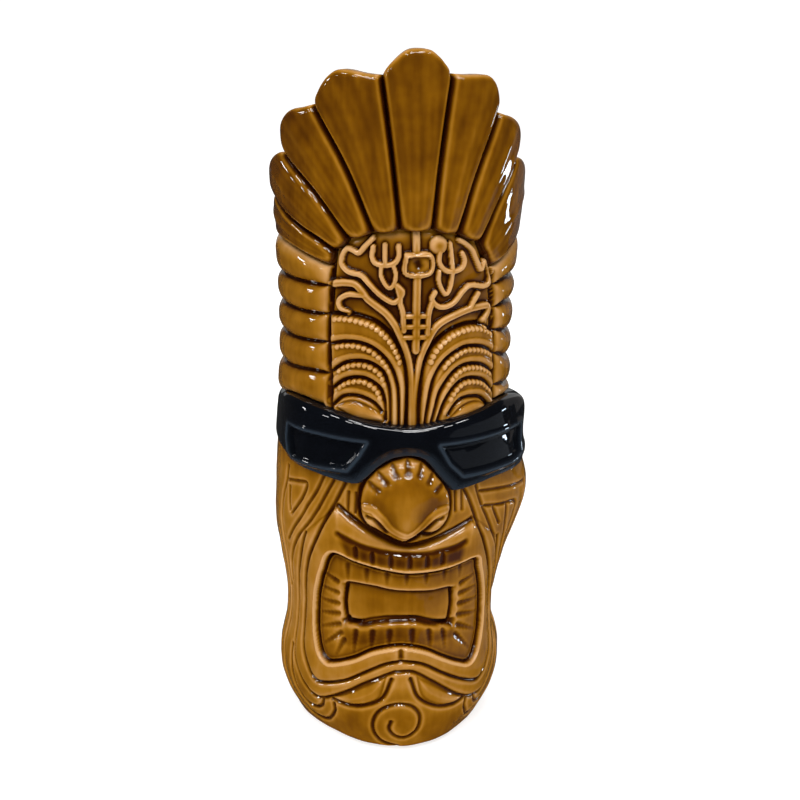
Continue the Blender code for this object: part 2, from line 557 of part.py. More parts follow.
def build_cheeks_and_jaw():
    """The sides of the face below the glasses, the curled side whiskers and the chin."""
    for side, sign, mouth in (("left", -1, MOUTH_LEFT), ("right", 1, MOUTH_RIGHT)):
        frame = (GLASSES_UNDER_LEFT[::-1] if sign < 0 else GLASSES_UNDER_RIGHT)[1:]
        top = [mouth[0]] + list(frame)[:-1] + temple_under(sign)
        back = [(sign * SIDE_ARC, 100), (sign * SIDE_ARC, 33)]
        low = [(sign * SIDE_ARC, 33), (mouth[-1][0], 33)]
        edge = outline(top, back, low, mouth[::-1], step=4.5)
        laid_piece(f"cheek_{side}", edge, low=-0.6, rise=1.6, soft=3.0, step=6.0)
        lip = LIP_LOW[:5] if sign < 0 else LIP_LOW[:11:-1]
        edge = outline(
            low, lip, [lip[-1], (sign * 25, 1.2)], [(sign * 25, 1.2), (sign * SIDE_ARC, 1.2)],
            [(sign * SIDE_ARC, 1.2), (sign * SIDE_ARC, 33)], step=4.5,
        )
        laid_piece(f"whiskers_{side}", edge, low=-0.6, rise=1.4, soft=3.0, step=6.0)
    edge = outline(
        LIP_LOW[4:13], [LIP_LOW[12], (25, 1.2)], [(25, 1.2), (-25, 1.2)], [(-25, 1.2), LIP_LOW[4]]
    )
    laid_piece("chin", edge, low=-0.6, rise=1.4, soft=2.5)
    turn = np.linspace(0, 2 * math.pi, 18, endpoint=False)
    edge = np.stack([-2.2 + 6.4 * np.cos(turn), 9.2 + 6.4 * np.sin(turn)], -1)
    laid_piece("chin_spiral", edge, low=1.5, rise=0.9, soft=2.0, step=3.4, under=1.15)


def build_back():
    """The plain back, with no carving, up to the drinking rim."""
    left, right = 2 * BACK_ARC - SIDE_ARC, SIDE_ARC
    edge = outline(
        [(right, 1.2), (left, 1.2)], [(left, 1.2), (left, 160)],
        [(left, 160), (right, 160)], [(right, 160), (right, 1.2)], step=7.0,
    )
    laid_piece("back_panel", edge, low=-0.6, rise=0.8, soft=3.0, step=6.0)


def main():
    for thing in list(bpy.data.objects):
        bpy.data.objects.remove(thing)
    build_vessel()
    build_foot()
    build_crest()
    build_ridges()
    build_brow()
    build_glasses()
    build_face()
    build_cheeks_and_jaw()
    build_back()


main()
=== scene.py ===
"""Looks of the tiki mug: finely carved surfaces, pooled amber glaze, black glaze, floor and light.

Positions on the mug are (arc, height) in millimetres. Arc is the angle about the vertical axis
times UNIT_RADIUS, 0 at the middle of the face and positive to the viewer's right. "Out" is the
distance from the underlying form, which is the same form that the CAD pieces are laid on.
"""

import math

import bpy
import numpy as np
from mathutils import Matrix, Vector


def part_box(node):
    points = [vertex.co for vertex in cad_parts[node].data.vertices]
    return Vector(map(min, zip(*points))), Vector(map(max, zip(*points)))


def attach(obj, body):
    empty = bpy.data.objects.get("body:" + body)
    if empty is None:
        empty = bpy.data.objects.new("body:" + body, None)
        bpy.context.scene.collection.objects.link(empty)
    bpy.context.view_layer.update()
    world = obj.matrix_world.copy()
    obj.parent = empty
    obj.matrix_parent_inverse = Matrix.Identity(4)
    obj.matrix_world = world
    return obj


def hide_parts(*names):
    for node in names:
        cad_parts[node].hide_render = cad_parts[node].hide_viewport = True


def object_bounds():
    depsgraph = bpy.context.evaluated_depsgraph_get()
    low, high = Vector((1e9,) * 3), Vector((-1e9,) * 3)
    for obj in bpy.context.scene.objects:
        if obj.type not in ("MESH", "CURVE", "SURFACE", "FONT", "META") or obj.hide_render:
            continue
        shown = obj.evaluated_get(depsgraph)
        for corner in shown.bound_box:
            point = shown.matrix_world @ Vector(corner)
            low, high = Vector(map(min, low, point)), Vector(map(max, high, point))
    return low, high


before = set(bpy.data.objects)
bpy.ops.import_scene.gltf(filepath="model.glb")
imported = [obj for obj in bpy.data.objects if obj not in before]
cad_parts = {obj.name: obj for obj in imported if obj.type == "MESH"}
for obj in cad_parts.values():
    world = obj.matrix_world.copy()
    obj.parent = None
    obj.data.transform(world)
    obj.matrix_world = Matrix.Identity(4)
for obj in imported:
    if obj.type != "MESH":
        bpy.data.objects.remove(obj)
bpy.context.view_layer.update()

MM = 0.001
UNIT_RADIUS = 36.0
BACK_ARC = math.pi * UNIT_RADIUS
FOOT_LOW, FOOT_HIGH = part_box("foot_plate")
MUG_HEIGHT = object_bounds()[1].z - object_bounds()[0].z
# The drawn form is 215.8 mm tall, and its axis stands in the middle of the foot's width.
SCALE = MUG_HEIGHT / 0.2158
AXIS_X = 0.5 * (FOOT_LOW.x + FOOT_HIGH.x)
BASE_Z = FOOT_LOW.z

HALF_WIDTH = (
    (0, 30.5), (8, 33.8), (16, 35.8), (24, 35.8), (34, 34), (44, 34), (56, 36), (66, 37.5), (78, 37.5),
    (100, 36.5), (112, 35.5), (150, 36), (172, 37.5), (216, 38.5),
)
FRONT_DEPTH = (
    (0, 35.5), (8, 38.5), (18, 39.5), (30, 38.5), (44, 36.5), (60, 37.5), (75, 37.5), (90, 37),
    (104, 36.5), (120, 36), (150, 36), (172, 36.5), (216, 39),
)
BACK_DEPTH = (
    (0, 30), (8, 33), (16, 34), (30, 33.5), (44, 34), (60, 35), (78, 36), (112, 36), (150, 36),
    (172, 36.5), (216, 38),
)
FRONT_POWER = ((0, 1.7), (20, 1.8), (50, 1.95), (80, 2.1), (110, 2.1), (216, 2.0))
RIGHT_CHEEK = 5.8  # how far the right cheek stands past the left one
CHEEK_HEIGHT, CHEEK_SPREAD = 79, 14.5


# ---- form and curves


def ease(t):
    """Smoothly from 0 to 1 as t goes from 0 to 1."""
    t = np.clip(t, 0, 1)
    return t * t * (3 - 2 * t)


def bell(t):
    """1 at t = 0, falling smoothly to nothing on both sides."""
    return np.exp(-(t**2))


def rounded_step(t):
    """A quarter circle: steep at t = 0 and level at t = 1."""
    return np.sqrt(1 - (1 - np.clip(t, 0, 1)) ** 2)


def along(value, table):
    """The table's value at these positions, on a smooth curve through its points."""
    x = np.array([row[0] for row in table], float)
    y = np.array([row[1] for row in table], float)
    value = np.clip(np.asarray(value, float), x[0], x[-1])
    slope = np.gradient(y, x)
    i = np.clip(np.searchsorted(x, value, side="right") - 1, 0, len(x) - 2)
    h = x[i + 1] - x[i]
    t = (value - x[i]) / h
    return (
        y[i] * (1 + 2 * t) * (1 - t) ** 2
        + h * slope[i] * t * (1 - t) ** 2
        + y[i + 1] * t * t * (3 - 2 * t)
        + h * slope[i + 1] * t * t * (t - 1)
    )


def form_radius(arc, height):
    angle = np.asarray(arc, float) / UNIT_RADIUS
    side = np.abs(np.sin(angle)) / along(height, HALF_WIDTH)
    forward = np.cos(angle)
    front = forward > 0
    depth = np.where(front, along(height, FRONT_DEPTH), along(height, BACK_DEPTH))
    power = np.where(front, along(height, FRONT_POWER), 2.0)
    radius = (side**power + (np.abs(forward) / depth) ** power) ** (-1.0 / power)
    cheek = ease((arc - 24) / 30) * ease((BACK_ARC - arc) / 40)
    return radius + RIGHT_CHEEK * cheek * bell((np.asarray(height) - CHEEK_HEIGHT) / CHEEK_SPREAD)


def uneven(arc, height):
    """The slight waviness of pressed clay under its glaze, in millimetres."""
    slow = np.sin(0.61 * arc + 1.7 * np.sin(0.23 * height)) * np.sin(0.53 * height + 0.19 * arc)
    quick = np.sin(1.47 * arc - 0.83 * height) * np.sin(1.13 * height + 0.71 * arc)
    return 0.05 * slow + 0.022 * quick


def place(arc, height, out):
    """Points in metres at this arc and height, this far out from the underlying form."""
    angle = np.asarray(arc, float) / UNIT_RADIUS
    radius = form_radius(arc, height) + out
    height = np.asarray(height, float) + np.zeros_like(radius)
    spot = np.stack([radius * np.sin(angle), -radius * np.cos(angle), height], -1)
    return spot * MM * SCALE + (AXIS_X, 0.0, BASE_Z)


def spaced(line, step=0.0, count=0):
    """Evenly spaced points along the line: this many, or at about this spacing."""
    length = np.concatenate([[0], np.cumsum(np.linalg.norm(np.diff(line, axis=0), axis=1))])
    count = count or max(2, int(round(length[-1] / step)) + 1)
    at = np.linspace(0, length[-1], count)
    return np.stack([np.interp(at, length, line[:, k]) for k in (0, 1)], -1)


def smooth(points, step, closed=False):
    """A Catmull-Rom curve through the points, with its ends kept, at about this spacing."""
    p = np.array(points, float)
    if len(p) > 2:
        if closed:
            ends = np.vstack([p[-1:], p, p[:2]])
            p = np.vstack([p, p[:1]])
        else:
            ends = np.vstack([2 * p[0] - p[1], p, 2 * p[-1] - p[-2]])
        t = np.linspace(0, 1, 12, endpoint=False)[:, None]
        runs = []
        for a, b, c, d in zip(ends, ends[1:], ends[2:], ends[3:]):
            bend = 2 * a - 5 * b + 4 * c - d + t * (3 * (b - c) + d - a)
            runs.append(b + 0.5 * t * (c - a + t * bend))
        p = np.vstack(runs + [p[-1:]])
    return spaced(p, step)


def resampled(curve, count):
    """The smooth curve with this many evenly spaced points."""
    return spaced(smooth(curve, 0.25), count=count)


def counter_clockwise(points):
    x, y = points.T
    area = np.sum(x * np.roll(y, -1) - np.roll(x, -1) * y)
    return points if area > 0 else points[::-1]


def outline(*curves, step=1.0):
    """One closed outline, counter-clockwise, from curves that follow one another."""
    points = []
    for curve in curves:
        for point in smooth(curve, step):
            if not points or np.linalg.norm(point - points[-1]) > 0.3 * step:
                points.append(point)
    while np.linalg.norm(points[0] - points[-1]) < 0.3 * step:
        points.pop()
    return counter_clockwise(np.array(points))


def closed_by(curve, *corners):
    """The outline of a curve and of straight sides from its end, through corners, to its start."""
    stops = [curve[-1], *corners, curve[0]]
    return outline(curve, *zip(stops, stops[1:]))


def straight(corners, step=1.0):
    """The outline with straight sides between these corners."""
    return outline(*zip(corners, corners[1:] + corners[:1]), step=step)


def closed_curve(points, step=0.8):
    """A smooth closed outline, counter-clockwise, without the first point again at its end."""
    return counter_clockwise(smooth(points, step, closed=True)[:-1])


def rejoined(loop):
    """The closed outline with its first point again at its end."""
    return np.vstack([loop, loop[:1]])


def inside(x, y, polygon):
    """Which of these positions lie inside the outline."""
    crossings = np.zeros(x.shape, int)
    for (x0, y0), (x1, y1) in zip(polygon, np.roll(polygon, -1, axis=0)):
        if y0 != y1:
            between = (y0 > y) != (y1 > y)
            crossings += between & (x < x0 + (x1 - x0) * (y - y0) / (y1 - y0))
    return crossings % 2 == 1


def distance(x, y, line, closed=False):
    """Distance from each position to the line."""
    best = np.full(x.shape, 1e9)
    ends = np.roll(line, -1, axis=0) if closed else line[1:]
    for (x0, y0), (x1, y1) in zip(line, ends):
        dx, dy = x1 - x0, y1 - y0
        t = np.clip(((x - x0) * dx + (y - y0) * dy) / max(dx * dx + dy * dy, 1e-9), 0, 1)
        best = np.minimum(best, (x - x0 - t * dx) ** 2 + (y - y0 - t * dy) ** 2)
    return np.sqrt(best)


def depth_inside(x, y, polygon):
    """Distance from each position to the outline, below 0 where it is outside."""
    away = distance(x, y, polygon, closed=True)
    return np.where(inside(x, y, polygon), away, -away)


# ---- materials

# Glaze colour by how proud the clay stands under it: it pools dark and breaks pale on edges. In a few
# places the value also carries painted shadow and painted highlight.
POOLED = (
    (0.00, (0.020, 0.0025, 0.0002)),
    (0.25, (0.048, 0.0110, 0.0004)),
    (0.40, (0.130, 0.0450, 0.0010)),
    (0.50, (0.215, 0.0820, 0.0020)),
    (0.62, (0.328, 0.1400, 0.0095)),
    (0.76, (0.445, 0.2120, 0.0460)),
    (0.92, (0.620, 0.3400, 0.1300)),
)


def material_with(name, roughness, coat):
    material = bpy.data.materials.new(name)
    material.use_nodes = True
    shader = material.node_tree.nodes["Principled BSDF"]
    shader.inputs["Roughness"].default_value = roughness
    shader.inputs["Coat Weight"].default_value = coat
    shader.inputs["Coat Roughness"].default_value = 0.025
    return material, shader


def add_node(material, kind, **settings):
    node = material.node_tree.nodes.new(kind)
    for name, value in settings.items():
        setattr(node, name, value)
    return node


def link(material, source, target):
    material.node_tree.links.new(source, target)


def attribute(material, name):
    """The value that the mesh stores at each point under this name."""
    return add_node(material, "ShaderNodeAttribute", attribute_name=name).outputs["Fac"]


def noise(material, scale, detail=2.0, stretch=(1, 1, 1)):
    """A noise value over the mug's own coordinates, in metres."""
    spot = add_node(material, "ShaderNodeTexCoord")
    mapping = add_node(material, "ShaderNodeMapping")
    mapping.inputs["Scale"].default_value = stretch
    texture = add_node(material, "ShaderNodeTexNoise")
    texture.inputs["Scale"].default_value = scale
    texture.inputs["Detail"].default_value = detail
    link(material, spot.outputs["Object"], mapping.inputs["Vector"])
    link(material, mapping.outputs["Vector"], texture.inputs["Vector"])
    return texture.outputs["Fac"]


def ranged(material, value, low, high):
    """The 0 to 1 value spread between low and high."""
    node = add_node(material, "ShaderNodeMapRange")
    node.inputs["To Min"].default_value = low
    node.inputs["To Max"].default_value = high
    link(material, value, node.inputs["Value"])
    return node.outputs["Result"]


def added(material, first, second):
    node = add_node(material, "ShaderNodeMath", operation="ADD")
    link(material, first, node.inputs[0])
    link(material, second, node.inputs[1])
    return node.outputs[0]


def mixed(material, first, second, share):
    """The colour between first and second, each a tuple or a node's output."""
    node = add_node(material, "ShaderNodeMix", data_type="RGBA")
    for socket, colour in ((node.inputs["A"], first), (node.inputs["B"], second)):
        if isinstance(colour, tuple):
            socket.default_value = (*colour, 1)
        else:
            link(material, colour, socket)
    link(material, share, node.inputs["Factor"])
    return node.outputs["Result"]


def glaze_material():
    material, shader = material_with("amber_glaze_fine", roughness=0.4, coat=1.0)
    shader.inputs["Specular IOR Level"].default_value = 0.0
    blotches = ranged(material, noise(material, 55), -0.09, 0.09)
    streaks = ranged(material, noise(material, 380, 3.0, (1, 1, 0.1)), -0.07, 0.07)
    mottles = ranged(material, noise(material, 190), -0.08, 0.08)
    value = attribute(material, "pool")
    for change in (blotches, streaks, mottles):
        value = added(material, value, change)
    ramp = add_node(material, "ShaderNodeValToRGB")
    stops = ramp.color_ramp.elements
    while len(stops) < len(POOLED):
        stops.new(0.5)
    for stop, (position, colour) in zip(stops, POOLED):
        stop.position = position
        stop.color = (*colour, 1.0)
    link(material, value, ramp.inputs["Fac"])
    link(material, ramp.outputs["Color"], shader.inputs["Base Color"])
    return material


def black_material():
    material, shader = material_with("black_glaze_fine", roughness=0.3, coat=1.0)
    shader.inputs["Specular IOR Level"].default_value = 0.0
    deep = mixed(material, (0.0010, 0.0013, 0.0022), (0.0030, 0.0040, 0.0065), noise(material, 90))
    # Painted sheen: the black is mixed towards blue-grey where the mesh's value is high, a painted
    # reflection on the glasses' edges.
    colour = mixed(material, deep, (0.030, 0.042, 0.058), attribute(material, "pool"))
    link(material, colour, shader.inputs["Base Color"])
    return material


def clay_material():
    material, shader = material_with("bare_clay_fine", roughness=0.85, coat=0.0)
    grain = noise(material, 900, 4.0)
    colour = mixed(material, (0.50, 0.42, 0.32), (0.66, 0.58, 0.47), grain)
    link(material, colour, shader.inputs["Base Color"])
    return material


def floor_material():
    material, shader = material_with("studio_floor", roughness=0.9, coat=0.0)
    colour = mixed(material, (0.54, 0.54, 0.54), (0.56, 0.56, 0.56), noise(material, 3))
    link(material, colour, shader.inputs["Base Color"])
    shader.inputs["Specular IOR Level"].default_value = 0.0
    shader.inputs["Emission Color"].default_value = (1, 1, 1, 1)
    link(material, attribute(material, "glow"), shader.inputs["Emission Strength"])
    return material


# ---- the carved skin


class Carving:
    """Heights of the carved skin over a grid of arc and height, built up from strokes."""

    def __init__(self, arcs, heights):
        self.arcs, self.heights = arcs, heights
        # Ground level, height of the strips and depth of the grooves, in millimetres, then how
        # far the glaze's shade is changed, and the strips' heights along their middles only.
        self.base, self.raised, self.cut, self.tone, self.core = np.zeros((5, len(heights), len(arcs)))

    def window(self, line, margin):
        """The part of the grid round the line, and the positions in it."""
        low, high = np.min(line, axis=0) - margin, np.max(line, axis=0) + margin
        rows = slice(*np.searchsorted(self.heights, (low[1], high[1])))
        cols = slice(*np.searchsorted(self.arcs, (low[0], high[0])))
        x, y = np.meshgrid(self.arcs[cols], self.heights[rows])
        return (rows, cols), x, y

    def region(self, polygon, level, rise=0.0, soft=1.0, edge=0.45):
        """Sets the ground inside the outline: this level at its edge, rising inwards."""
        spot, x, y = self.window(polygon, 2.0)
        depth = depth_inside(x, y, polygon)
        value = level + rise * (1 - np.exp(-np.maximum(depth, 0) / soft))
        share = ease(depth / (2 * edge) + 0.5)
        self.base[spot] = self.base[spot] * (1 - share) + value * share

    def shade(self, polygon, amount, soft=2.0):
        """Makes the glaze darker (below 0) or paler inside the outline: thicker or thinner glaze, and
        in places painted shadow and painted highlight.
        """
        spot, x, y = self.window(polygon, soft)
        self.tone[spot] += amount * ease(0.5 + depth_inside(x, y, polygon) / soft)

    def stroke(self, width, height, *paths, edge=0.5):
        """Raises a rounded strip along each path."""
        half = 0.5 * (width + edge)
        for path in paths:
            line = smooth(path, 0.6)
            spot, x, y = self.window(line, width + 1)
            away = distance(x, y, line)
            shape = np.sqrt(np.clip(1 - (away / half) ** 3, 0, 1))
            self.raised[spot] = np.maximum(self.raised[spot], height * shape)
            middle = height * bell(away / (0.27 * width))
            self.core[spot] = np.maximum(self.core[spot], middle)

    def groove(self, width, depth, *paths):
        """Cuts a rounded groove along each path."""
        for path in paths:
            line = smooth(path, 0.6)
            spot, x, y = self.window(line, 2.5 * width)
            shape = bell(distance(x, y, line) / (0.62 * width))
            self.cut[spot] = np.maximum(self.cut[spot], depth * shape)

    def wedge(self, start, end, width, depth):
        """Cuts a groove that gets shallower and narrower from its start to its end."""
        start, end = np.array(start), np.array(end)
        for k in range(5):
            reach = start + (end - start) * (k + 1) / 5
            self.groove(width * (1 - 0.1 * k), depth * (1 - 0.19 * k), [start, reach])

    def mound(self, arc, height, across, up, rise):
        """Swells the ground in a round mound."""
        dx = (self.arcs[None, :] - arc) / across
        dy = (self.heights[:, None] - height) / up
        self.base += rise * np.exp(-(dx**2) - dy**2)

    def out(self):
        return self.base + self.raised - self.cut


def blurred(values, spread):
    """The grid values smoothed by a bell of this spread, in grid cells."""
    reach = int(3 * spread) + 1
    weights = np.exp(-0.5 * (np.arange(-reach, reach + 1) / spread) ** 2)
    weights /= weights.sum()
    for axis in (0, 1):
        pad = [(0, 0), (0, 0)]
        pad[axis] = (reach, reach)
        padded = np.pad(values, pad, mode="edge")
        values = sum(
            weight * np.take(padded, np.arange(k, k + values.shape[axis]), axis=axis)
            for k, weight in enumerate(weights)
        )
    return values


def mirrored(path, sign):
    """The path, or its mirror image on the left side of the face where sign is -1."""
    return [(sign * arc, height) for arc, height in path]


# Brow: everything here is a raised stroke over a sunken panel. The arch is its upper edge.
ARCH = [
    (-23.6, 158), (-18.7, 161.8), (-11.5, 164.1), (-3.7, 165), (6, 165), (14, 163.6), (22, 160.5),
    (25.3, 156.5),
]
PANEL = [
    (-23.8, 158), *ARCH[1:7], (25.6, 156.5), (28.8, 149), (30.9, 141), (31.9, 130), (32.2, 118),
    (32.2, 109), (22, 108), (11.6, 106.5), (0.7, 105), (-10, 106), (-18, 107.6), (-24, 109),
    (-24.6, 118), (-25.4, 126), (-25.7, 138), (-25, 151),
]
PANEL_GROOVES = (
    [(-23.6, 157), (-24.4, 151), (-25.3, 138), (-25, 126), (-24.2, 118), (-23.8, 109)],
    [(25.4, 156), (28.4, 149), (30.5, 141), (31.5, 130), (31.8, 118), (31.8, 109)],
)
UPPER_PANEL = [(-25, 150), (-21, 158), (-11.5, 163), (6, 164), (21, 159.5), (28, 150)]
ARM_LEFT = [
    (-24.4, 147.8), (-20.4, 148.5), (-17, 148.3), (-14.7, 146.3), (-12.9, 144.1), (-10.1, 142.1),
    (-7.4, 140.1), (-5.2, 137.5), (-3.8, 135.2), (-2.4, 132), (-1.1, 128.8), (-0.1, 125), (0.5, 120),
    (0.8, 114), (0.9, 106),
]
ARM_RIGHT = [
    (25.6, 136.2), (27.6, 138.2), (27.4, 140.4), (23, 140.6), (19.3, 140.3), (14.9, 139.2),
    (10.8, 137.7), (8, 135.8), (6.2, 133), (4.6, 129.6), (3.4, 126), (2.6, 121), (2.1, 115), (2, 106),
]
SCROLL_LEFT = [
    (-11.6, 162.2), (-14, 159.6), (-15.8, 157.7), (-17.4, 158.3), (-19.4, 158.8), (-20.8, 157),
    (-21.2, 154), (-19, 151.9), (-15.1, 151.1), (-12.5, 148.7), (-9.6, 145.9), (-6.6, 143.9),
    (-4.7, 143.5), (-3, 145.1), (-2.5, 146.8), (-4.2, 148.4),
]
SCROLL_RIGHT = [
    (15, 161.4), (17, 160.4), (19.5, 158.2), (21.3, 155.1), (23.5, 152), (24.8, 154.2), (26.6, 153.4),
    (27.8, 150.3), (27.4, 147.4), (25, 146.7), (19.6, 147.6), (16.5, 145.9), (13.7, 142.9),
    (10.3, 141.7), (7.8, 142.5), (6.5, 144.4), (7.4, 146.2),
]
HOOK_LEFT = [(-13.6, 145.2), (-16.6, 145.2), (-19.4, 145), (-22, 143.2), (-21.6, 140.8), (-19, 139.6)]
TRIDENT_LEFT = [
    (-11.4, 159.6), (-11.7, 156.8), (-10.6, 154.9), (-7.7, 154.4), (-5.2, 155), (-3.9, 156.8),
    (-3.9, 160),
]
TRIDENT_RIGHT = [
    (8.5, 158), (8.5, 155.2), (10.1, 153), (12.8, 152.2), (15.9, 153), (16.9, 155.2), (16, 157.4),
]
LOOP_LEFT = [
    (-8.9, 154), (-9, 151.4), (-7.8, 148.9), (-6.4, 147.7), (-5.1, 148.9), (-4.6, 151.6), (-5.2, 154),
]
LOOP_RIGHT = [(8.5, 152.4), (8.6, 149.2), (10.7, 145.6), (12.3, 147.7), (12.8, 151.4)]
BOSS = [(-1.7, 157.5), (5.6, 157.4), (5.6, 152), (-1.6, 151.9), (-1.7, 157.5)]
OUTER_LEFT = [
    (-25.5, 138.4), (-19, 139), (-12.4, 137.9), (-8.7, 136), (-5.5, 133), (-3.4, 129.8), (-1.8, 126),
    (-1, 122), (-0.7, 118), (-0.8, 113), (-1.1, 106),
]
OUTER_RIGHT = [
    (31.5, 132), (25.1, 134.9), (20.4, 135.6), (16.5, 135.2), (12.9, 134.1), (9.6, 132), (6.7, 129),
    (5, 125.5), (4, 121.3), (3.4, 117.2), (3.1, 112.8), (3.1, 106),
]
GROOVES_LEFT = (
    [(-24.6, 129.8), (-20.4, 130.9), (-17, 131.2), (-13.8, 130.8), (-10.6, 129.5), (-7.5, 126.9),
     (-5.4, 123.9), (-4, 120.3), (-3.2, 116), (-2.9, 106.5)],
    [(-24, 121.6), (-20.3, 124.3), (-17, 125.4), (-13.7, 125.6), (-10.6, 124.7), (-8, 122.8),
     (-6.7, 120.3), (-5.9, 117), (-5.6, 112), (-5.6, 107)],
    [(-23.6, 116.6), (-20.2, 119.2), (-16.9, 120.4), (-13.5, 120.5), (-10.5, 119.2), (-8.4, 117.2),
     (-7.2, 113.6), (-6.8, 108)],
    [(-23.4, 111.4), (-20.2, 114.2), (-16.8, 115), (-13.4, 114.5), (-10.4, 113.1), (-8, 110.6)],
)
GROOVES_RIGHT = (
    [(31.6, 125.2), (26.9, 127.7), (22.1, 129), (17.9, 129.2), (14.3, 128), (10.8, 125.6), (8.7, 122.8),
     (7.2, 119.4), (6.2, 114.9), (5, 107)],
    [(31.2, 119.4), (25.6, 122.6), (20.8, 123.7), (16.9, 123.5), (13.8, 121.8), (11.3, 119.1),
     (9.4, 116), (8.3, 112), (7, 107)],
    [(31, 113.8), (25.9, 117.8), (21, 119.3), (17, 119.1), (13.9, 117), (11.6, 114), (10, 110.7),
     (8.8, 107)],
    [(29, 109), (24.9, 112.5), (20.8, 113.6), (17.1, 113.4), (14.7, 112), (12.4, 109)],
)
BEADED_SHARE = (0.62, 0.6, 0.66, 0.75)  # how much of each band's length has beads
STROKE_RISE = 1.75


def beside(path, gap):
    """The path moved to its left by the gap."""
    line = smooth(path, 1.0)
    way = np.gradient(line, axis=0)
    way /= np.linalg.norm(way, axis=1)[:, None]
    return line + gap * np.stack([-way[:, 1], way[:, 0]], -1)


def carve_brow(skin):
    panel = straight(PANEL)
    skin.region(panel, level=-1.6)
    skin.shade(panel, 0.03)
    # The upper part of the panel is paler: partly the glaze's own colour, partly a painted highlight
    # for the glints on the upper brow.
    skin.shade(closed_by(UPPER_PANEL), 0.07, soft=6.0)
    for edge, wall in ((OUTER_LEFT, -25.2), (OUTER_RIGHT, 31.7)):
        fan = closed_by(edge, (wall, 106))
        skin.region(fan, level=-0.25, rise=0.25, soft=1.5)
        skin.shade(fan, -0.015, soft=1.0)
    skin.stroke(1.9, 1.6, ARM_LEFT, ARM_RIGHT)
    skin.stroke(1.3, STROKE_RISE, SCROLL_LEFT, SCROLL_RIGHT, HOOK_LEFT, TRIDENT_LEFT, TRIDENT_RIGHT)
    skin.stroke(1.3, STROKE_RISE, [(19.6, 140.6), (21, 142.6), (22.7, 144.8)])
    skin.stroke(1.05, STROKE_RISE, LOOP_LEFT, LOOP_RIGHT, BOSS)
    prongs = [(-8, 160.4), (-7.9, 157.6), (-7.8, 154.6)], [(11.7, 160.6), (12.3, 157), (12.9, 152.6)]
    skin.stroke(1.15, STROKE_RISE, *prongs)
    skin.stroke(2.2, STROKE_RISE, [(25.6, 136.2), (26.2, 134.8)])
    skin.stroke(2.1, 1.6, [(1.3, 166), (1.4, 158.6)])
    skin.stroke(2.2, 1.6, [(1.9, 151), (1.9, 140), (1.9, 129)])
    rails = (
        [(-4.2, 148.4), (-3.2, 145), (-3.1, 143), (-2.3, 140.4), (-1.9, 135)],
        [(6.5, 143), (5.6, 139.6), (5.4, 134)],
    )
    skin.stroke(1.4, STROKE_RISE, *rails)
    skin.stroke(1.2, 1.5, *([(-2.2, rung), (5.6, rung)] for rung in (139.2, 136.1, 132.9)))
    skin.stroke(4.2, 1.7, [(8.1, 160.2), (8.3, 160.2)], edge=1.6)
    skin.region(straight(BOSS[:-1]), level=-0.5)
    skin.groove(2.0, 1.0, [(2, 155.2), (2.3, 154.4)])
    skin.groove(1.1, 1.0, *PANEL_GROOVES)
    skin.groove(2.2, 1.2, ARCH)
    carve_bands(skin)


def carve_bands(skin):
    """Fans of bands: dark groove, bead row on the outer edge, rounded ridge on the inner."""
    for grooves, outer, sign in ((GROOVES_LEFT, OUTER_LEFT, 1), (GROOVES_RIGHT, OUTER_RIGHT, -1)):
        skin.groove(1.5, 1.35, outer)
        above = outer
        for groove, share in zip(grooves, BEADED_SHARE):
            skin.groove(1.15, 1.2, groove)
            skin.stroke(1.2, 0.3, beside(groove, sign * 1.3), edge=0.8)
            beads = beside(above, -sign * 1.35)
            row = beads[2 : int(len(beads) * share)]
            skin.stroke(1.0, 0.6, *([bead, bead + 0.1] for bead in smooth(row, 1.75)), edge=0.6)
            above = groove
    leaf_left = [(-22.6, 110.8), (-19, 112.9), (-15.7, 113.2), (-11.4, 111.8), (-8, 109.6), (-7, 107.4)]
    leaf_right = [(12.6, 107.6), (15.9, 110.6), (19.8, 112), (23.8, 111.6), (27.4, 109.6)]
    for leaf, under in ((leaf_left, (-15.6, 108)), (leaf_right, (19.8, 107.6))):
        shape = outline(leaf, [leaf[-1], under, leaf[0]])
        skin.region(shape, level=-0.5, rise=1.3, soft=0.8)


# Face. Left and right are the viewer's.
LIP_TOP = [
    (-20.9, 80.2), (-14.7, 76), (-6.7, 71.4), (-1.1, 69.2), (4.5, 69.4), (13.5, 72.2), (20.9, 74.8),
]
FOLD_LEFT = [
    (-18.4, 88), (-21.1, 82), (-23.2, 77.8), (-25.4, 73.8), (-27.8, 68.8), (-29.9, 64.5), (-32.2, 59.3),
    (-34.6, 52), (-36.1, 44.5), (-37, 36), (-36.4, 29.6), (-32.8, 23.4), (-29.6, 20.3), (-26.1, 20.2),
    (-18.2, 22.9), (-11.8, 26.8), (-6.1, 30), (-1.1, 31.4),
]
FOLD_RIGHT = [
    (17.2, 86), (19.5, 82), (21.4, 77.7), (23.5, 72.3), (26.2, 66.7), (29, 60.5), (32.6, 53),
    (35.4, 45), (36.8, 37), (35.8, 29), (32, 22.6), (28, 19.6), (24.5, 19.6), (18, 22.3), (11.6, 25.9),
    (5.2, 29.9), (-1.1, 31.4),
]
MOUTH = [
    (-21.9, 64.9), (-14.3, 63.1), (-4.5, 60.8), (2, 60), (11.6, 60.5), (21.9, 62.1), (24, 58.2),
    (27, 51.2), (28.8, 45), (28.6, 37.6), (25.6, 30.6), (21.7, 27.2), (17, 28.6), (11.7, 31.4),
    (5.3, 34.9), (-1.7, 36.3), (-9.2, 34.6), (-15.3, 31.1), (-22.3, 28.3), (-25.4, 28.6), (-28, 31.6),
    (-29.6, 37), (-29.8, 43), (-29, 48.6), (-27.4, 53.4), (-25.6, 58),
]
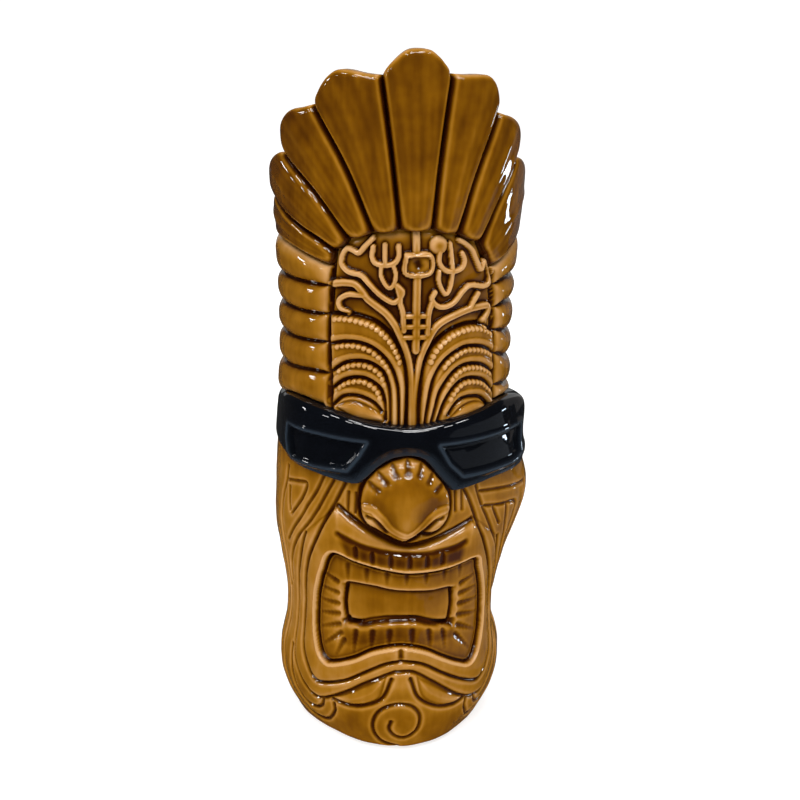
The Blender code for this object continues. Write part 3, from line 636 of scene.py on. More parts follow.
TONGUE = [
    (-18.4, 55), (-16.2, 55.8), (-9.2, 55.3), (-4.4, 54.3), (0.7, 53.8), (8, 53.4), (13.6, 53.6),
    (15.6, 52.6), (16.2, 47), (15.4, 41.8), (13.4, 41), (8.6, 42.7), (3.1, 44.4), (-4.3, 44.6),
    (-9.2, 43.9), (-13.3, 42.6), (-17.6, 41.4), (-19, 42.6), (-19.7, 48),
]
LOWER_OUTER_LEFT = [
    (-32.7, 69), (-34.2, 65), (-36.2, 59.5), (-38.8, 53), (-41, 46), (-42.4, 38), (-42.8, 30),
    (-41.4, 24), (-38.1, 19), (-34.6, 15.8), (-31.2, 14), (-26.5, 14.5), (-18.2, 18.9), (-11.7, 23.2),
    (-6, 26.4), (-2.8, 27.9),
]
LOWER_OUTER_RIGHT = [
    (33.4, 66), (36.4, 58), (39.6, 50), (41.8, 42), (42.6, 32), (40.6, 24), (36.4, 18), (32.6, 14.6),
    (29.4, 13.4), (22.9, 14.4), (15.8, 18.2), (8.4, 23.7), (2.3, 27.7), (-2.8, 27.9),
]
SPIRAL = [
    (-1.6, 1.4), (-5.9, 2.7), (-8.4, 5.2), (-9.3, 9.1), (-8.2, 13.1), (-5.8, 15.8), (-2.1, 17.3),
    (1.4, 16.8), (3.7, 14.8), (4.8, 11.8), (4.3, 8.3), (2.4, 5.9), (-0.2, 5), (-2.8, 6), (-4.3, 8.4),
    (-3.8, 11),
]
LOWER_TEETH = [
    (-18, 42), (-9, 43), (-4, 44), (3, 44), (9, 42.4), (15, 41), (16, 37), (5, 37), (-1.6, 38.6),
    (-9, 37), (-18.6, 35),
]
TONGUE_SIDES = (
    [(-18.6, 54.4), (-19.6, 48), (-19, 42.4)],
    [(15.6, 52.6), (16.3, 47), (15.5, 41.8)],
)
TONGUE_UNDER = [
    (-19.2, 42.2), (-13.3, 42), (-9, 43.2), (-4, 44), (3, 43.9), (8.6, 42.2), (15.6, 41),
]
TONGUE_CORNERS = ([(-18.8, 42.2), (-18.6, 42.6)], [(15.6, 41.4), (15.8, 41.8)])


def carve_mouth(skin):
    """Lips as two rounded bands round the open mouth, with teeth and a sunken tongue."""
    band = outline(LOWER_OUTER_LEFT, LOWER_OUTER_RIGHT[::-1], [LOWER_OUTER_RIGHT[0], (20.9, 76)],
                   LIP_TOP[::-1], [(-20.9, 80.2), LOWER_OUTER_LEFT[0]])
    skin.region(band, level=-0.2, rise=0.9, soft=1.6)
    lips = outline(LIP_TOP, [(20.9, 74.8), (23.6, 71.8)], FOLD_RIGHT[3:], FOLD_LEFT[:3:-1],
                   [FOLD_LEFT[4], (-24.6, 75), (-20.9, 80.2)])
    skin.region(lips, level=0.0, rise=1.9, soft=2.2)
    mouth = closed_curve(MOUTH)
    skin.stroke(1.7, 0.3, rejoined(mouth), edge=0.8)
    skin.region(mouth, level=-0.5, rise=0.9, soft=1.2)
    skin.shade(mouth, -0.05)
    tongue = closed_curve(TONGUE)
    skin.region(tongue, level=-1.3, rise=0.5, soft=0.8)
    skin.shade(tongue, 0.05)
    skin.groove(1.5, 1.1, *TONGUE_SIDES)
    skin.groove(0.7, 0.4, TONGUE[:8])
    skin.groove(1.5, 1.9, TONGUE_UNDER)
    skin.groove(2.0, 1.8, *TONGUE_CORNERS)
    skin.shade(closed_curve(LOWER_TEETH), -0.15)
    skin.groove(0.8, 1.1, rejoined(mouth))
    carve_teeth(skin)


# Gaps between the teeth at the sides of the mouth, from the tongue outwards.
SIDE_GAPS = (
    ((-21.2, 55.4), (-25.8, 57.6)), ((-21.2, 51.4), (-27, 52.4)), ((-21.2, 47.6), (-28, 47.8)),
    ((-21.2, 44.2), (-28, 43.2)), ((-21, 40.8), (-27.6, 38.6)), ((-20.4, 38), (-26, 33.6)),
    ((-19.2, 36), (-21.4, 31.2)), ((18.4, 54.2), (23.4, 56)), ((18.4, 50.6), (24.8, 51.4)),
    ((18.4, 47), (26.4, 46.8)), ((18.4, 43.2), (26.8, 42)), ((18, 40), (25.6, 36.6)),
    ((17.2, 37), (22.4, 31.6)),
)
LIP_FOLD = [
    (-19.9, 71.8), (-16.7, 70.4), (-13.1, 68.9), (-9.3, 67.9), (-4.6, 67), (0.4, 66.5), (4.8, 66.3),
    (10.1, 67), (14, 67.5), (17.6, 68.6),
]


def carve_teeth(skin):
    """Soft flutes between the teeth, the fold of the upper lip and its wrinkles, with painted shadow
    under the fold.
    """
    for x in (-17.4, -11.6, -5.6, 0.2, 6.0, 11.8, 17.2):
        skin.wedge((x, 59.8 + 0.006 * x * x), (x, 56.4 + 0.002 * x * x), 1.2, 0.5)
    for inner, outer in SIDE_GAPS:
        skin.wedge(inner, outer, 1.5, 0.75)
    for x in (-15.2, -9.8, -4.6, 2.2, 7.6, 12.4):
        low = 36.2 - 0.014 * x * x
        skin.wedge((x, 40.6 - 0.010 * abs(x) ** 1.7), (x * 1.02, low), 1.5, 0.7)
    for x in (-14.6, -9.8, -4.6, 0.8, 5.8, 10.4):
        skin.groove(1.1, 0.6, [(x, 66.4 + 0.008 * x * x), (x * 0.99, 62.2 + 0.008 * x * x)])
    skin.groove(1.4, 0.75, LIP_FOLD)
    # Painted shadow: the wrinkled band under the lip's fold is darkened as if the overhanging lip
    # shades it.
    painted_shadow_band = outline(LIP_FOLD, [LIP_FOLD[-1], (16, 62.8)], [(16, 62.8), (0, 61.8), (-17, 65)],
                       [(-17, 65), LIP_FOLD[0]])
    skin.shade(painted_shadow_band, -0.33, soft=2.5)
    skin.groove(1.3, 1.1, [(-1.3, 35.2), (-1.2, 32.8)])


CHEEK_LINES = (
    [(-41.9, 88), (-42.9, 82.7), (-44.7, 78.9), (-46.3, 73.2), (-46.3, 68.3), (-45.4, 62),
     (-46, 55), (-48, 46)],
    [(-41.6, 83.6), (-36, 84.7), (-32.2, 84.9), (-33.5, 80.7), (-36.6, 76.5), (-39.4, 73.4)],
    [(-40.6, 81.6), (-40.8, 77), (-40.2, 74.4)],
    [(-25.7, 88.6), (-28.3, 83.1), (-31.9, 77.7), (-34.7, 73.4), (-38.2, 69.2), (-42, 64)],
    [(-22.2, 88), (-24.5, 83.6), (-27, 78.8), (-30.1, 74), (-33.1, 70.3), (-36.1, 66.8),
     (-39.5, 62), (-42.4, 56.8), (-45, 49)],
    [(22.4, 85.4), (24.6, 79.2), (27.4, 74), (30.7, 67.6), (34, 61.6), (37.6, 54)],
    [(24, 83.2), (32, 82.2), (40, 81.2), (47, 80.6)],
    [(26, 78), (33, 76.8), (40.4, 75.8), (40.8, 72), (39.6, 66)],
    [(30, 76.6), (31.4, 73.8), (33, 70.8)],
    [(36, 75.6), (36.6, 70), (38, 62), (41, 54)],
    [(47, 80.6), (46.4, 72), (44.6, 64), (45, 54), (47, 46)],
)


def carve_cheeks(skin):
    skin.groove(0.9, 0.75, *CHEEK_LINES)
    skin.groove(1.0, 0.9, FOLD_LEFT, FOLD_RIGHT, LOWER_OUTER_LEFT, LOWER_OUTER_RIGHT)
    skin.groove(1.6, 1.1, LIP_TOP)
    for arc in (-17.4, -15, 14.6, 17):
        skin.groove(0.8, 0.7, [(arc, 85), (arc * 1.01, 78.8)])


# Each lobe beside the chin: its outer line and its inner line, from the same end to the same end.
CHIN_LOBES = (
    ([(-24, 15.8), (-18.2, 18.3), (-11.7, 22.4), (-5.4, 26.2)],
     [(-5.4, 26.2), (-7.1, 19.5), (-11.7, 16.2), (-17.1, 15), (-24, 15.8)]),
    ([(22.4, 15.2), (15.8, 17.6), (8.4, 22.8), (3.4, 26.2)],
     [(3.4, 26.2), (5.2, 19.3), (10.7, 15.5), (16.4, 14.2), (22.4, 15.2)]),
)
CHIN_LINES = (
    [(-23, 15.2), (-17.1, 14.6), (-11.4, 15.8), (-6.4, 19.1), (-3.8, 25.6)],
    [(1.6, 25.6), (4.2, 19), (10, 15), (16.4, 13.7), (21.6, 14.6)],
)
JAW_CURL = [
    (44, 27), (43.6, 20), (42.6, 15.7), (40.2, 11.6), (36, 9.2), (31.4, 9.3), (28, 11.4), (27, 13.8),
]
JAW_TAIL = [
    (22.4, 13.8), (22.8, 10.4), (27.1, 6), (33.5, 4.9), (40, 6), (46, 10), (50, 18), (50.6, 28),
    (49, 38), (47, 47),
]
STRAND_SHIFTS = (6, 12, 19, 27, 36)


def carve_chin(skin):
    """Curled chin with a leaf each side, and strands of whisker round the jaw."""
    for lobe in CHIN_LOBES:
        skin.region(outline(*lobe), level=-0.5, rise=1.0, soft=1.2)
    skin.groove(1.0, 1.1, *CHIN_LINES)
    skin.mound(-1.2, 24, 4.2, 4.0, 0.9)
    skin.tone -= 0.03 * ease((24 - skin.heights[:, None]) / 6)
    skin.groove(1.0, 0.9, SPIRAL)
    for sign in (-1, 1):
        skin.groove(1.0, 1.0, mirrored(JAW_CURL, sign))
        skin.groove(1.0, 0.95, mirrored(JAW_TAIL, sign))
        for k, shift in enumerate(STRAND_SHIFTS):
            strand = [(44 + shift, 64 - 4 * k), (46 + shift, 44), (49 + shift, 30),
                      (47.5 + shift, 16), (43 + shift, 5 + 0.5 * k)]
            skin.groove(1.0, 0.55, mirrored(strand, sign))


NOSE = [
    (-12.8, 88.6), (-14, 84.4), (-14, 80), (-12.2, 76), (-8.8, 73.8), (-4.8, 71.4), (-1, 70),
    (2.2, 71.6), (3.9, 73), (7, 72.4), (10, 74), (12.6, 78.4), (12.9, 84), (10.8, 88.4), (7, 93),
    (3.8, 96), (0, 97.2), (-4.4, 96.2), (-9.4, 93),
]
NOSE_FLUTES = (
    [(-12.4, 90), (-8.4, 87.6)], [(-9.6, 93.4), (-6.2, 90)], [(-5.2, 96.2), (-3.6, 92.2)],
    [(-0.4, 97), (-0.4, 93)], [(4, 96), (2.8, 92.2)], [(7.6, 92.8), (5.4, 89.8)],
    [(10.8, 88.6), (7.6, 87)],
)
NOSE_RIDGE = [
    (-11.8, 81.6), (-9.4, 81.6), (-7, 79.2), (-4.8, 75.8), (-1, 73.4), (1.4, 74.2), (3.6, 76.6),
    (5.6, 79.4), (7.8, 80.8), (10.6, 80.8),
]
NOSTRILS = (
    [(-11, 79), (-9.2, 78.6), (-7.6, 76.6), (-6.2, 74)],
    [(9, 78.4), (7.2, 77.8), (5.6, 75.6), (4.2, 73.4)],
)
NOSE_MOUNDS = (
    # arc, height, across, up, rise: the ball, the tip and the two wings
    (-0.8, 84, 7.6, 8.0, 4.6),
    (-0.6, 76.4, 3.6, 4.6, 1.7),
    (-9.6, 78.6, 2.9, 3.4, 1.5),
    (8.4, 78.2, 2.9, 3.4, 1.5),
)


def carve_nose(skin):
    """A broad round nose: ball, middle edge, rolled nostrils."""
    nose = closed_curve(NOSE)
    skin.region(nose, level=0.2, rise=3.0, soft=2.2)
    skin.shade(nose, -0.12)
    for mound in NOSE_MOUNDS:
        skin.mound(*mound)
    skin.stroke(1.2, 0.5, NOSE_RIDGE, edge=1.3)
    skin.groove(1.5, 0.75, *NOSE_FLUTES)
    skin.groove(1.1, 1.2, *NOSTRILS)
    skin.groove(1.4, 1.2, rejoined(nose))


# Coils round the sides of the head: the grooves between them, from the brow to the back.
PANEL_LEFT = [(-23.6, 158), (-24.8, 151), (-25.7, 138), (-25.4, 126), (-24.4, 118), (-23.8, 107)]
PANEL_RIGHT = [(25.3, 156.5), (28.7, 149), (30.9, 141), (31.9, 130), (32.3, 118), (32.3, 107)]
LEAF_BASE_LEFT = [(-24.8, 153.2), (-32, 154.9), (-41, 156.8), (-50, 157.8), (-63, 158.4)]
LEAF_BASE_RIGHT = [(27.2, 152.4), (32, 153.6), (39.5, 156.2), (46, 158.6), (52, 159.6), (59, 159.8)]
COILS_LEFT = (
    [(-24, 147.2), (-40, 147), (-88, 146.5)],
    [(-25, 138.7), (-33, 138.1), (-51, 137.8), (-88, 137.6)],
    [(-25, 130.2), (-32, 129.5), (-48, 128.8), (-88, 128.4)],
    [(-24.4, 120.6), (-32, 120.5), (-48, 119.3), (-88, 118.6)],
)
COILS_RIGHT = (
    [(28.4, 146.4), (36.5, 147.6), (48, 147.4), (88, 146.6)],
    [(30.6, 139.2), (36, 140), (44, 139.6), (88, 138.6)],
    [(31.4, 132.4), (37, 131.4), (45, 130.2), (88, 129.6)],
    [(32, 125), (38, 123.6), (48, 121.6), (88, 120.8)],
    [(32.3, 115), (38, 114.4), (48, 112.9), (88, 112.4)],
)
COIL_END = 86.0
COIL_FADE = 22.0
GLASSES_TOP = [
    (-88, 106), (-72, 106.8), (-58, 108.2), (-46, 110.6), (-36.4, 111.3), (-27, 110.6), (-18, 109.2),
    (-10, 107.6), (0.7, 106.5), (11.6, 107.8), (21, 109.2), (32, 110.4), (44, 109.4), (58, 107),
    (72, 106.6), (88, 106),
]
GLASSES_UNDER = [
    (-88, 100), (-78, 98.6), (-66, 95), (-58, 91), (-48, 90.4), (-40, 90.2), (-29, 89.6), (-16, 88),
    (-12, 90.2), (-9, 93.4), (-4.9, 96.3), (0.4, 97.2), (4.4, 96), (6.7, 93.6), (9.4, 90), (12.3, 86.8),
    (14, 85.4), (21, 86), (29, 86.8), (40, 87), (48, 87.5), (58, 89), (66, 95), (78, 98.6), (88, 100),
]
LENSES = (
    [(-39.2, 102.6), (-25.5, 102.4), (-11.9, 101.7), (-14, 97.5), (-17, 93), (-27, 92.6), (-37, 92.6),
     (-39.4, 98)],
    [(8.6, 100.6), (25, 101), (42.6, 101), (41, 92), (36, 90.9), (15.4, 90.8), (11.6, 94.8)],
)
RIM_HEIGHT = 160.2
RIM_ROUND = 3.1
HIDDEN = -3.4  # skin level where another piece covers it
SUNK = -1.7  # level of the deep grooves between coils and between leaves


def carve_coils(skin):
    for sign, panel, base, lines in ((-1, PANEL_LEFT, LEAF_BASE_LEFT, COILS_LEFT),
                                     (1, PANEL_RIGHT, LEAF_BASE_RIGHT, COILS_RIGHT)):
        top = base + [(sign * 74, 159.4), (sign * 88, 159.4)]
        brim = [p for p in GLASSES_TOP if sign * p[0] > 20]
        area = outline(top, [top[-1], (sign * 88, 104)], [(sign * 88, 104), panel[-1]],
                       panel[::-1], step=1.5)
        spot, x, y = skin.window(area, 1.0)
        away = distance(x, y, smooth(panel, 2.0))
        for line in (top, brim, *lines):
            # The nearest edge counts, with rounded corners where two edges meet.
            near = np.maximum(distance(x, y, smooth(line, 3.0)), 1e-3)
            away = (np.maximum(away, 1e-3) ** -3.0 + near**-3.0) ** (-1 / 3.0)
        covered = y < np.interp(x, *smooth(GLASSES_TOP, 1.0).T)
        coil = np.where(covered, SUNK, SUNK + 3.0 * rounded_step(away / 4.3))
        share = inside(x, y, area) * ease((COIL_END - sign * x) / COIL_FADE)
        skin.base[spot] = skin.base[spot] * (1 - share) + coil * share
        skin.tone[spot] -= 0.04 * share


def pooled(out, thick):
    """How proud each point stands: about 0.5 on flats, less in grooves and more on edges."""
    edge = out - blurred(out, 1.7)
    wide = out - blurred(out, 6.5)
    proud = 0.27 * np.tanh(5 * np.maximum(edge, 0)) + thick * np.minimum(edge, 0)
    return 0.48 + proud + 0.25 * wide


def glaze_pool_and_painted_light(skin, out, arc, height):
    """The glaze's shade: grooves are darker above the glasses, the cheeks are paler, and painted shadow
    and highlight come in with the tone.
    """
    pool = pooled(out, 0.8 - 0.58 * ease((BROW_LOW - height) / 8))
    pool = pool + skin.tone - 0.115 * skin.core + 0.035 * ease((BROW_LOW - height) / 24)
    cheeks = 0.05 * ease((-24 - arc) / 8) + 0.07 * ease((np.abs(arc) - 36) / 12)
    return np.clip(pool + cheeks * ease((92 - height) / 8) * ease((height - 20) / 14), 0, 1)


SKIN_STEP = 0.32  # spacing of the skin's points on the front
FRONT_ARC = 62.0  # how far round the skin is finely carved
BROW_LOW, MOUTH_MIDDLE = 104, 50  # heights where the skin is split into pieces
SKIN_THICK = 5.6


def carve_skin():
    fine = np.arange(-FRONT_ARC, FRONT_ARC + 0.01, SKIN_STEP)
    coarse = np.linspace(fine[-1], BACK_ARC, 80)[1:]
    arcs = np.concatenate([-coarse[::-1], fine, coarse])
    skin = Carving(arcs, np.arange(1.0, 168.01, SKIN_STEP))
    carve_coils(skin)
    carve_brow(skin)
    carve_cheeks(skin)
    skin.mound(52, 37.5, 14, 5, -2.0)  # the hollow of the right jaw
    carve_mouth(skin)
    carve_chin(skin)
    carve_nose(skin)
    corners = [LEAF_BASE_RIGHT[-1], (66, 171), (-66, 171), LEAF_BASE_LEFT[-1]]
    under_crest = outline(ARCH, LEAF_BASE_RIGHT, *zip(corners, corners[1:]), LEAF_BASE_LEFT[::-1])
    skin.region(under_crest, level=HIDDEN, edge=0.3)
    arc, height = np.meshgrid(arcs, skin.heights)
    out = skin.out()
    skin.pool = glaze_pool_and_painted_light(skin, out, arc, height)
    # The lowest edge is drawn in at the sides.
    out = out - 1.3 * bell(height / 8) * ease((np.abs(arc) - 10) / 20)
    out = out + uneven(arc, height)
    round_rim = 1 - rounded_step((RIM_HEIGHT - skin.heights) / RIM_ROUND)
    past_crest = ((arcs > 57.5) | (arcs < -61))[None, :]
    out = np.where(past_crest, out - RIM_ROUND * round_rim[:, None], out)
    round_foot = 1 - rounded_step((skin.heights - 0.7) / 1.5)
    out = out - 1.5 * round_foot[:, None]
    skin.points = place(arc, height, out)
    wrapped = np.concatenate([skin.points[:, -2:-1], skin.points, skin.points[:, 1:2]], axis=1)
    skin.normals = surface_normals(wrapped)[:, 1:-1]
    return skin


# ---- mesh pieces


def mesh_piece(name, points, faces, material):
    """A smooth mesh object from points in metres and faces of any number of corners."""
    mesh = bpy.data.meshes.new(name)
    mesh.vertices.add(len(points))
    mesh.vertices.foreach_set("co", np.asarray(points, np.float32).ravel())
    sizes = np.concatenate([np.full(len(f), f.shape[1]) for f in faces])
    corners = np.concatenate([f.ravel() for f in faces])
    mesh.loops.add(len(corners))
    mesh.loops.foreach_set("vertex_index", corners.astype(np.int32))
    mesh.polygons.add(len(sizes))
    starts = np.concatenate([[0], np.cumsum(sizes)[:-1]])
    mesh.polygons.foreach_set("loop_start", starts.astype(np.int32))
    mesh.polygons.foreach_set("use_smooth", np.full(len(sizes), True))
    mesh.update(calc_edges=True)
    mesh.validate()
    mesh.materials.append(material)
    piece = bpy.data.objects.new(name, mesh)
    bpy.context.scene.collection.objects.link(piece)
    return piece


def set_values(piece, name, values):
    """Stores one number for each point, for the material to read."""
    layer = piece.data.attributes.new(name, "FLOAT", "POINT")
    layer.data.foreach_set("value", np.asarray(values, np.float32))


def grid_faces(rows, cols, wrap=False):
    """Corner numbers of the quads of a grid of points numbered row by row."""
    r, c = np.meshgrid(np.arange(rows - 1), np.arange(cols if wrap else cols - 1), indexing="ij")
    a = (r * cols + c).ravel()
    b = (r * cols + (c + 1) % cols).ravel()
    return np.stack([a, b, b + cols, a + cols], -1)


def surface_normals(points):
    """Unit normals of a grid of points, from the grid's own slopes."""
    normal = np.cross(np.gradient(points, axis=1), np.gradient(points, axis=0))
    return normal / np.linalg.norm(normal, axis=2)[..., None]


def finished(piece, nodes):
    """Puts the piece on the mug, in the place of these CAD nodes."""
    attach(piece, "root")
    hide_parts(*nodes)


def edge_walls(front, back, picks, flipped):
    """Faces between a fine edge and a coarse one that stands behind the picked points of it."""
    walls = []
    for k, (start, end) in enumerate(zip(picks, picks[1:])):
        run = list(front[start : end + 1])
        behind = [back[k + 1], back[k]]
        walls.append(np.array([run[::-1] + behind[::-1] if flipped else run + behind]))
    return walls


def slab(name, outer, inner, material, pool, pool_behind, every=1):
    """A closed solid between two grids of points; the inner one is thinned to every few points."""
    height, width = outer.shape[:2]
    r, c = (np.unique(np.append(np.arange(0, n, every), n - 1)) for n in (height, width))
    n = height * width
    front = np.arange(n).reshape(height, width)
    back = n + np.arange(len(r) * len(c)).reshape(len(r), len(c))
    faces = [
        grid_faces(height, width),
        grid_faces(len(r), len(c))[:, ::-1] + n,
        *edge_walls(front[0], back[0], c, True),
        *edge_walls(front[-1], back[-1], c, False),
        *edge_walls(front[:, 0], back[:, 0], r, False),
        *edge_walls(front[:, -1], back[:, -1], r, True),
    ]
    thinned = np.ix_(r, c)
    points = np.vstack([outer.reshape(-1, 3), inner[thinned].reshape(-1, 3)])
    piece = mesh_piece(name, points, faces, material)
    set_values(piece, "pool", np.concatenate([pool.ravel(), pool_behind[thinned].ravel()]))
    return piece, inner[thinned]


def skin_piece(name, skin, heights, arcs, nodes):
    """The part of the carved skin in this window, as a closed slab of clay."""
    rows, cols = (
        slice(np.searchsorted(levels, low - 0.01), np.searchsorted(levels, high + 0.01) + 1)
        for levels, (low, high) in ((skin.heights, heights), (skin.arcs, arcs))
    )
    inner = place(*np.meshgrid(skin.arcs[cols], skin.heights[rows]), -SKIN_THICK)
    pool = skin.pool[rows, cols]
    piece, behind = slab(name, skin.points[rows, cols], inner, GLAZE, pool, 0 * pool + 0.4, every=8)
    inward = np.cross(np.gradient(behind, axis=0), np.gradient(behind, axis=1)).reshape(-1, 3)
    facing = np.vstack([skin.normals[rows, cols].reshape(-1, 3), inward])
    facing /= np.linalg.norm(facing, axis=1)[:, None]
    piece.data.normals_split_custom_set_from_vertices(facing.tolist())
    finished(piece, nodes)


def relief(name, spots, front, back, material, pool):
    """A closed solid between two outs, over a grid of (arc, height) spots."""
    outer, inner = (place(spots[..., 0], spots[..., 1], out) for out in (front, back))
    return slab(name, outer, inner, material, pool, pool)[0]


def coons(bottom, top, left, right, across, up):
    """A grid of (arc, height) that fills the space between four curves."""
    b, t = resampled(bottom, across)[None], resampled(top, across)[None]
    l, r = resampled(left, up)[:, None], resampled(right, up)[:, None]
    u = np.linspace(0, 1, across)[None, :, None]
    v = np.linspace(0, 1, up)[:, None, None]
    corners = (1 - v) * ((1 - u) * b[:, :1] + u * b[:, -1:])
    corners = corners + v * ((1 - u) * t[:, :1] + u * t[:, -1:])
    return (1 - v) * b + v * t + (1 - u) * l + u * r - corners


# Crest: the lines between neighbouring leaves, from the arch up, and each leaf's tip.
LEAF_LINES_LEFT = (
    [(-3.7, 165), (-6.2, 186), (-9.3, 208.8)],
    [(-11.5, 164.1), (-19.7, 183.3), (-29.8, 200)],
    [(-18.7, 161.8), (-30, 175), (-43.4, 184.8)],
    [(-23.6, 158), (-28, 160.5), (-34.3, 163), (-41.6, 165.8), (-49, 168.8), (-55.6, 171)],
    LEAF_BASE_LEFT,
)
LEAF_LINES_RIGHT = (
    [(6, 165), (7.6, 186), (9.9, 209.4)],
    [(14, 163.6), (19.3, 181), (26.2, 198.4)],
    [(22, 160.5), (28.6, 172), (37.4, 184)],
    LEAF_BASE_RIGHT,
)
TIP_CENTRE = [
    (-9.3, 208.8), (-7.4, 211.6), (-5, 214.2), (-2.4, 216), (0.4, 216.4), (3.5, 216), (5.8, 214.3),
    (7.4, 212.6), (9.9, 209.4),
]
TIPS_LEFT = (
    [(-9.3, 208.8), (-13.7, 209.2), (-18.4, 210), (-21.6, 209.9), (-24.2, 208.3), (-26.4, 205.8),
     (-28.1, 203), (-29.8, 200)],
    [(-29.8, 200), (-33, 198.9), (-38.2, 197.8), (-41.4, 196), (-43.6, 193.6), (-44.2, 191), (-44, 188),
     (-43.4, 184.8)],
    [(-43.4, 184.8), (-47.6, 184.2), (-52.6, 182.2), (-56.2, 179.6), (-58, 176), (-57.6, 173),
     (-55.6, 171)],
    [(-55.6, 171), (-59.6, 170), (-62.8, 167.4), (-64, 163), (-63, 158.4)],
)
TIPS_RIGHT = (
    [(9.9, 209.4), (14, 209.1), (18, 209.1), (21.2, 208.8), (23.4, 207.3), (24.9, 205), (25.8, 202.2),
     (26.2, 198.4)],
    [(26.2, 198.4), (28.8, 197.4), (32.2, 196.6), (35.4, 195.1), (37.4, 193), (38.2, 190.4),
     (38, 187.4), (37.4, 184)],
    [(37.4, 184), (42.4, 183.6), (47.4, 181.8), (51.6, 178), (55, 172.4), (58, 166), (59, 159.8)],
)
LEAF_INNER = -6.0
TIP_MARGIN = 1.3  # how far the vessel's wall stays inside the leaves' tips
LEAF_ACROSS, LEAF_UP = 90, 190  # points of each leaf's grid


def leaf_pool(x, side, free, middle):
    """The glaze's shade: dark at the sides, pale on edges and the middle rib, and streaked."""
    pool = 0.438 - 0.0012 * np.abs(x) + 0.03 * ease((x - 8) / 8)
    pool = pool - 0.38 * bell(side / 0.85)
    pool = pool + 0.24 * bell((side - 1.2) / 0.5)
    pool = pool + 0.38 * bell(free / 0.8) + 0.04 * bell(middle / 1.5)
    u, v = np.meshgrid(np.linspace(0, 1, LEAF_ACROSS), np.linspace(0, 1, LEAF_UP))
    u = u + 0.03 * np.sin(5 * v + x[0, 0])
    pool = pool + 0.022 * np.sin(17 * u + x[0, 0]) + 0.018 * np.sin(41 * u + 3 * v) - 0.03 * v**2
    return np.clip(pool, 0, 1)


def crest_leaf(node, foot, tip, left, right, lift=0.0):
    """One raised leaf: a groove all round, a rounded shoulder and a nearly flat face."""
    foot = resampled(foot, 24)
    across = np.array([foot[-1, 1] - foot[0, 1], foot[0, 0] - foot[-1, 0]])
    bulge = 0.9 * across / np.linalg.norm(across)
    foot = foot + bulge * np.sin(np.linspace(0, math.pi, 24))[:, None] ** 0.7
    spots = coons(foot, tip, left, right, LEAF_ACROSS, LEAF_UP)
    x, y = spots[..., 0], spots[..., 1]
    near = [np.maximum(distance(x, y, smooth(line, 0.8)), 1e-3) for line in (left, right, foot)]
    free = distance(x, y, smooth(tip, 0.8))
    side = np.minimum(near[0], near[1])
    # The lower end is well rounded: away from both the sides and the foot.
    side = (side**-1.5 + (near[2] * 1.1) ** -1.5) ** (-1 / 1.5)
    middle = distance(x, y, 0.5 * (resampled(left, 40) + resampled(right, 40)))
    front = SUNK + 3.3 * rounded_step((side - 0.1) / 2.8) + 0.45 * (1 - np.exp(-side / 5))
    front = front + 0.3 * bell(middle / 1.5) + lift * ease(side / 3) + 0.4 * uneven(x, y)
    front = front - 2.2 * (1 - rounded_step(free / 2.4))
    back = LEAF_INNER + 2.6 * (1 - rounded_step(free / 2.4))
    front = np.maximum(front, back + 0.4)
    piece = relief(node + "_fine", spots, front, back, GLAZE, leaf_pool(x, side, free, middle))
    finished(piece, [node])


def build_crest():
    left, right = LEAF_LINES_LEFT, LEAF_LINES_RIGHT
    crest_leaf("crest_leaf_centre", ARCH[3:5], TIP_CENTRE, left[0], right[0])
    for k in (1, 2, 3):
        foot, tip = ARCH[3 - k : 5 - k], TIPS_LEFT[k - 1][::-1]
        crest_leaf(f"crest_leaf_left_{k}", foot, tip, left[k], left[k - 1])
    foot, tip = [LEAF_BASE_LEFT[0], ARCH[0]], TIPS_LEFT[3][::-1]
    crest_leaf("crest_leaf_left_4", foot, tip, left[4], left[3], lift=-1.0)
    for k in (1, 2):
        foot, tip = ARCH[3 + k : 5 + k], TIPS_RIGHT[k - 1]
        crest_leaf(f"crest_leaf_right_{k}", foot, tip, right[k - 1], right[k])
    foot = [*ARCH[6:], LEAF_BASE_RIGHT[0]]
    crest_leaf("crest_leaf_right_3", foot, TIPS_RIGHT[2], right[2], right[3], lift=-0.6)


# ---- vessel, glasses, foot


def lofted(name, rings, material):
    """A closed solid through rings of points, closed at its first and last ring."""
    count = len(rings[0])
    points = np.vstack([*rings, np.mean(rings[0], axis=0), np.mean(rings[-1], axis=0)])
    around = np.arange(count)
    after = np.roll(around, -1)
    first, last = len(points) - 2, len(points) - 1
    top = (len(rings) - 1) * count
    sides = grid_faces(len(rings), count, wrap=True)
    under = np.stack([np.full(count, first), after, around], -1)
    over = np.stack([np.full(count, last), around + top, after + top], -1)
    return mesh_piece(name, points, [sides, under, over], material)


def wall_height(arc):
    """Height of the vessel's wall, which backs the leaves and is the rim behind them."""
    tips = np.vstack([smooth(tip, 0.4) for tip in (TIP_CENTRE, *TIPS_LEFT, *TIPS_RIGHT)])
    height = np.full(len(arc), RIM_HEIGHT)
    for k, at in enumerate(arc):
        near = tips[np.abs(tips[:, 0] - at) < TIP_MARGIN]
        if len(near) and abs(at) < 61:
            height[k] = max(near[:, 1].min() - TIP_MARGIN, RIM_HEIGHT)
    return height


WALL_OUTER, WALL_INNER = -5.0, -6.2


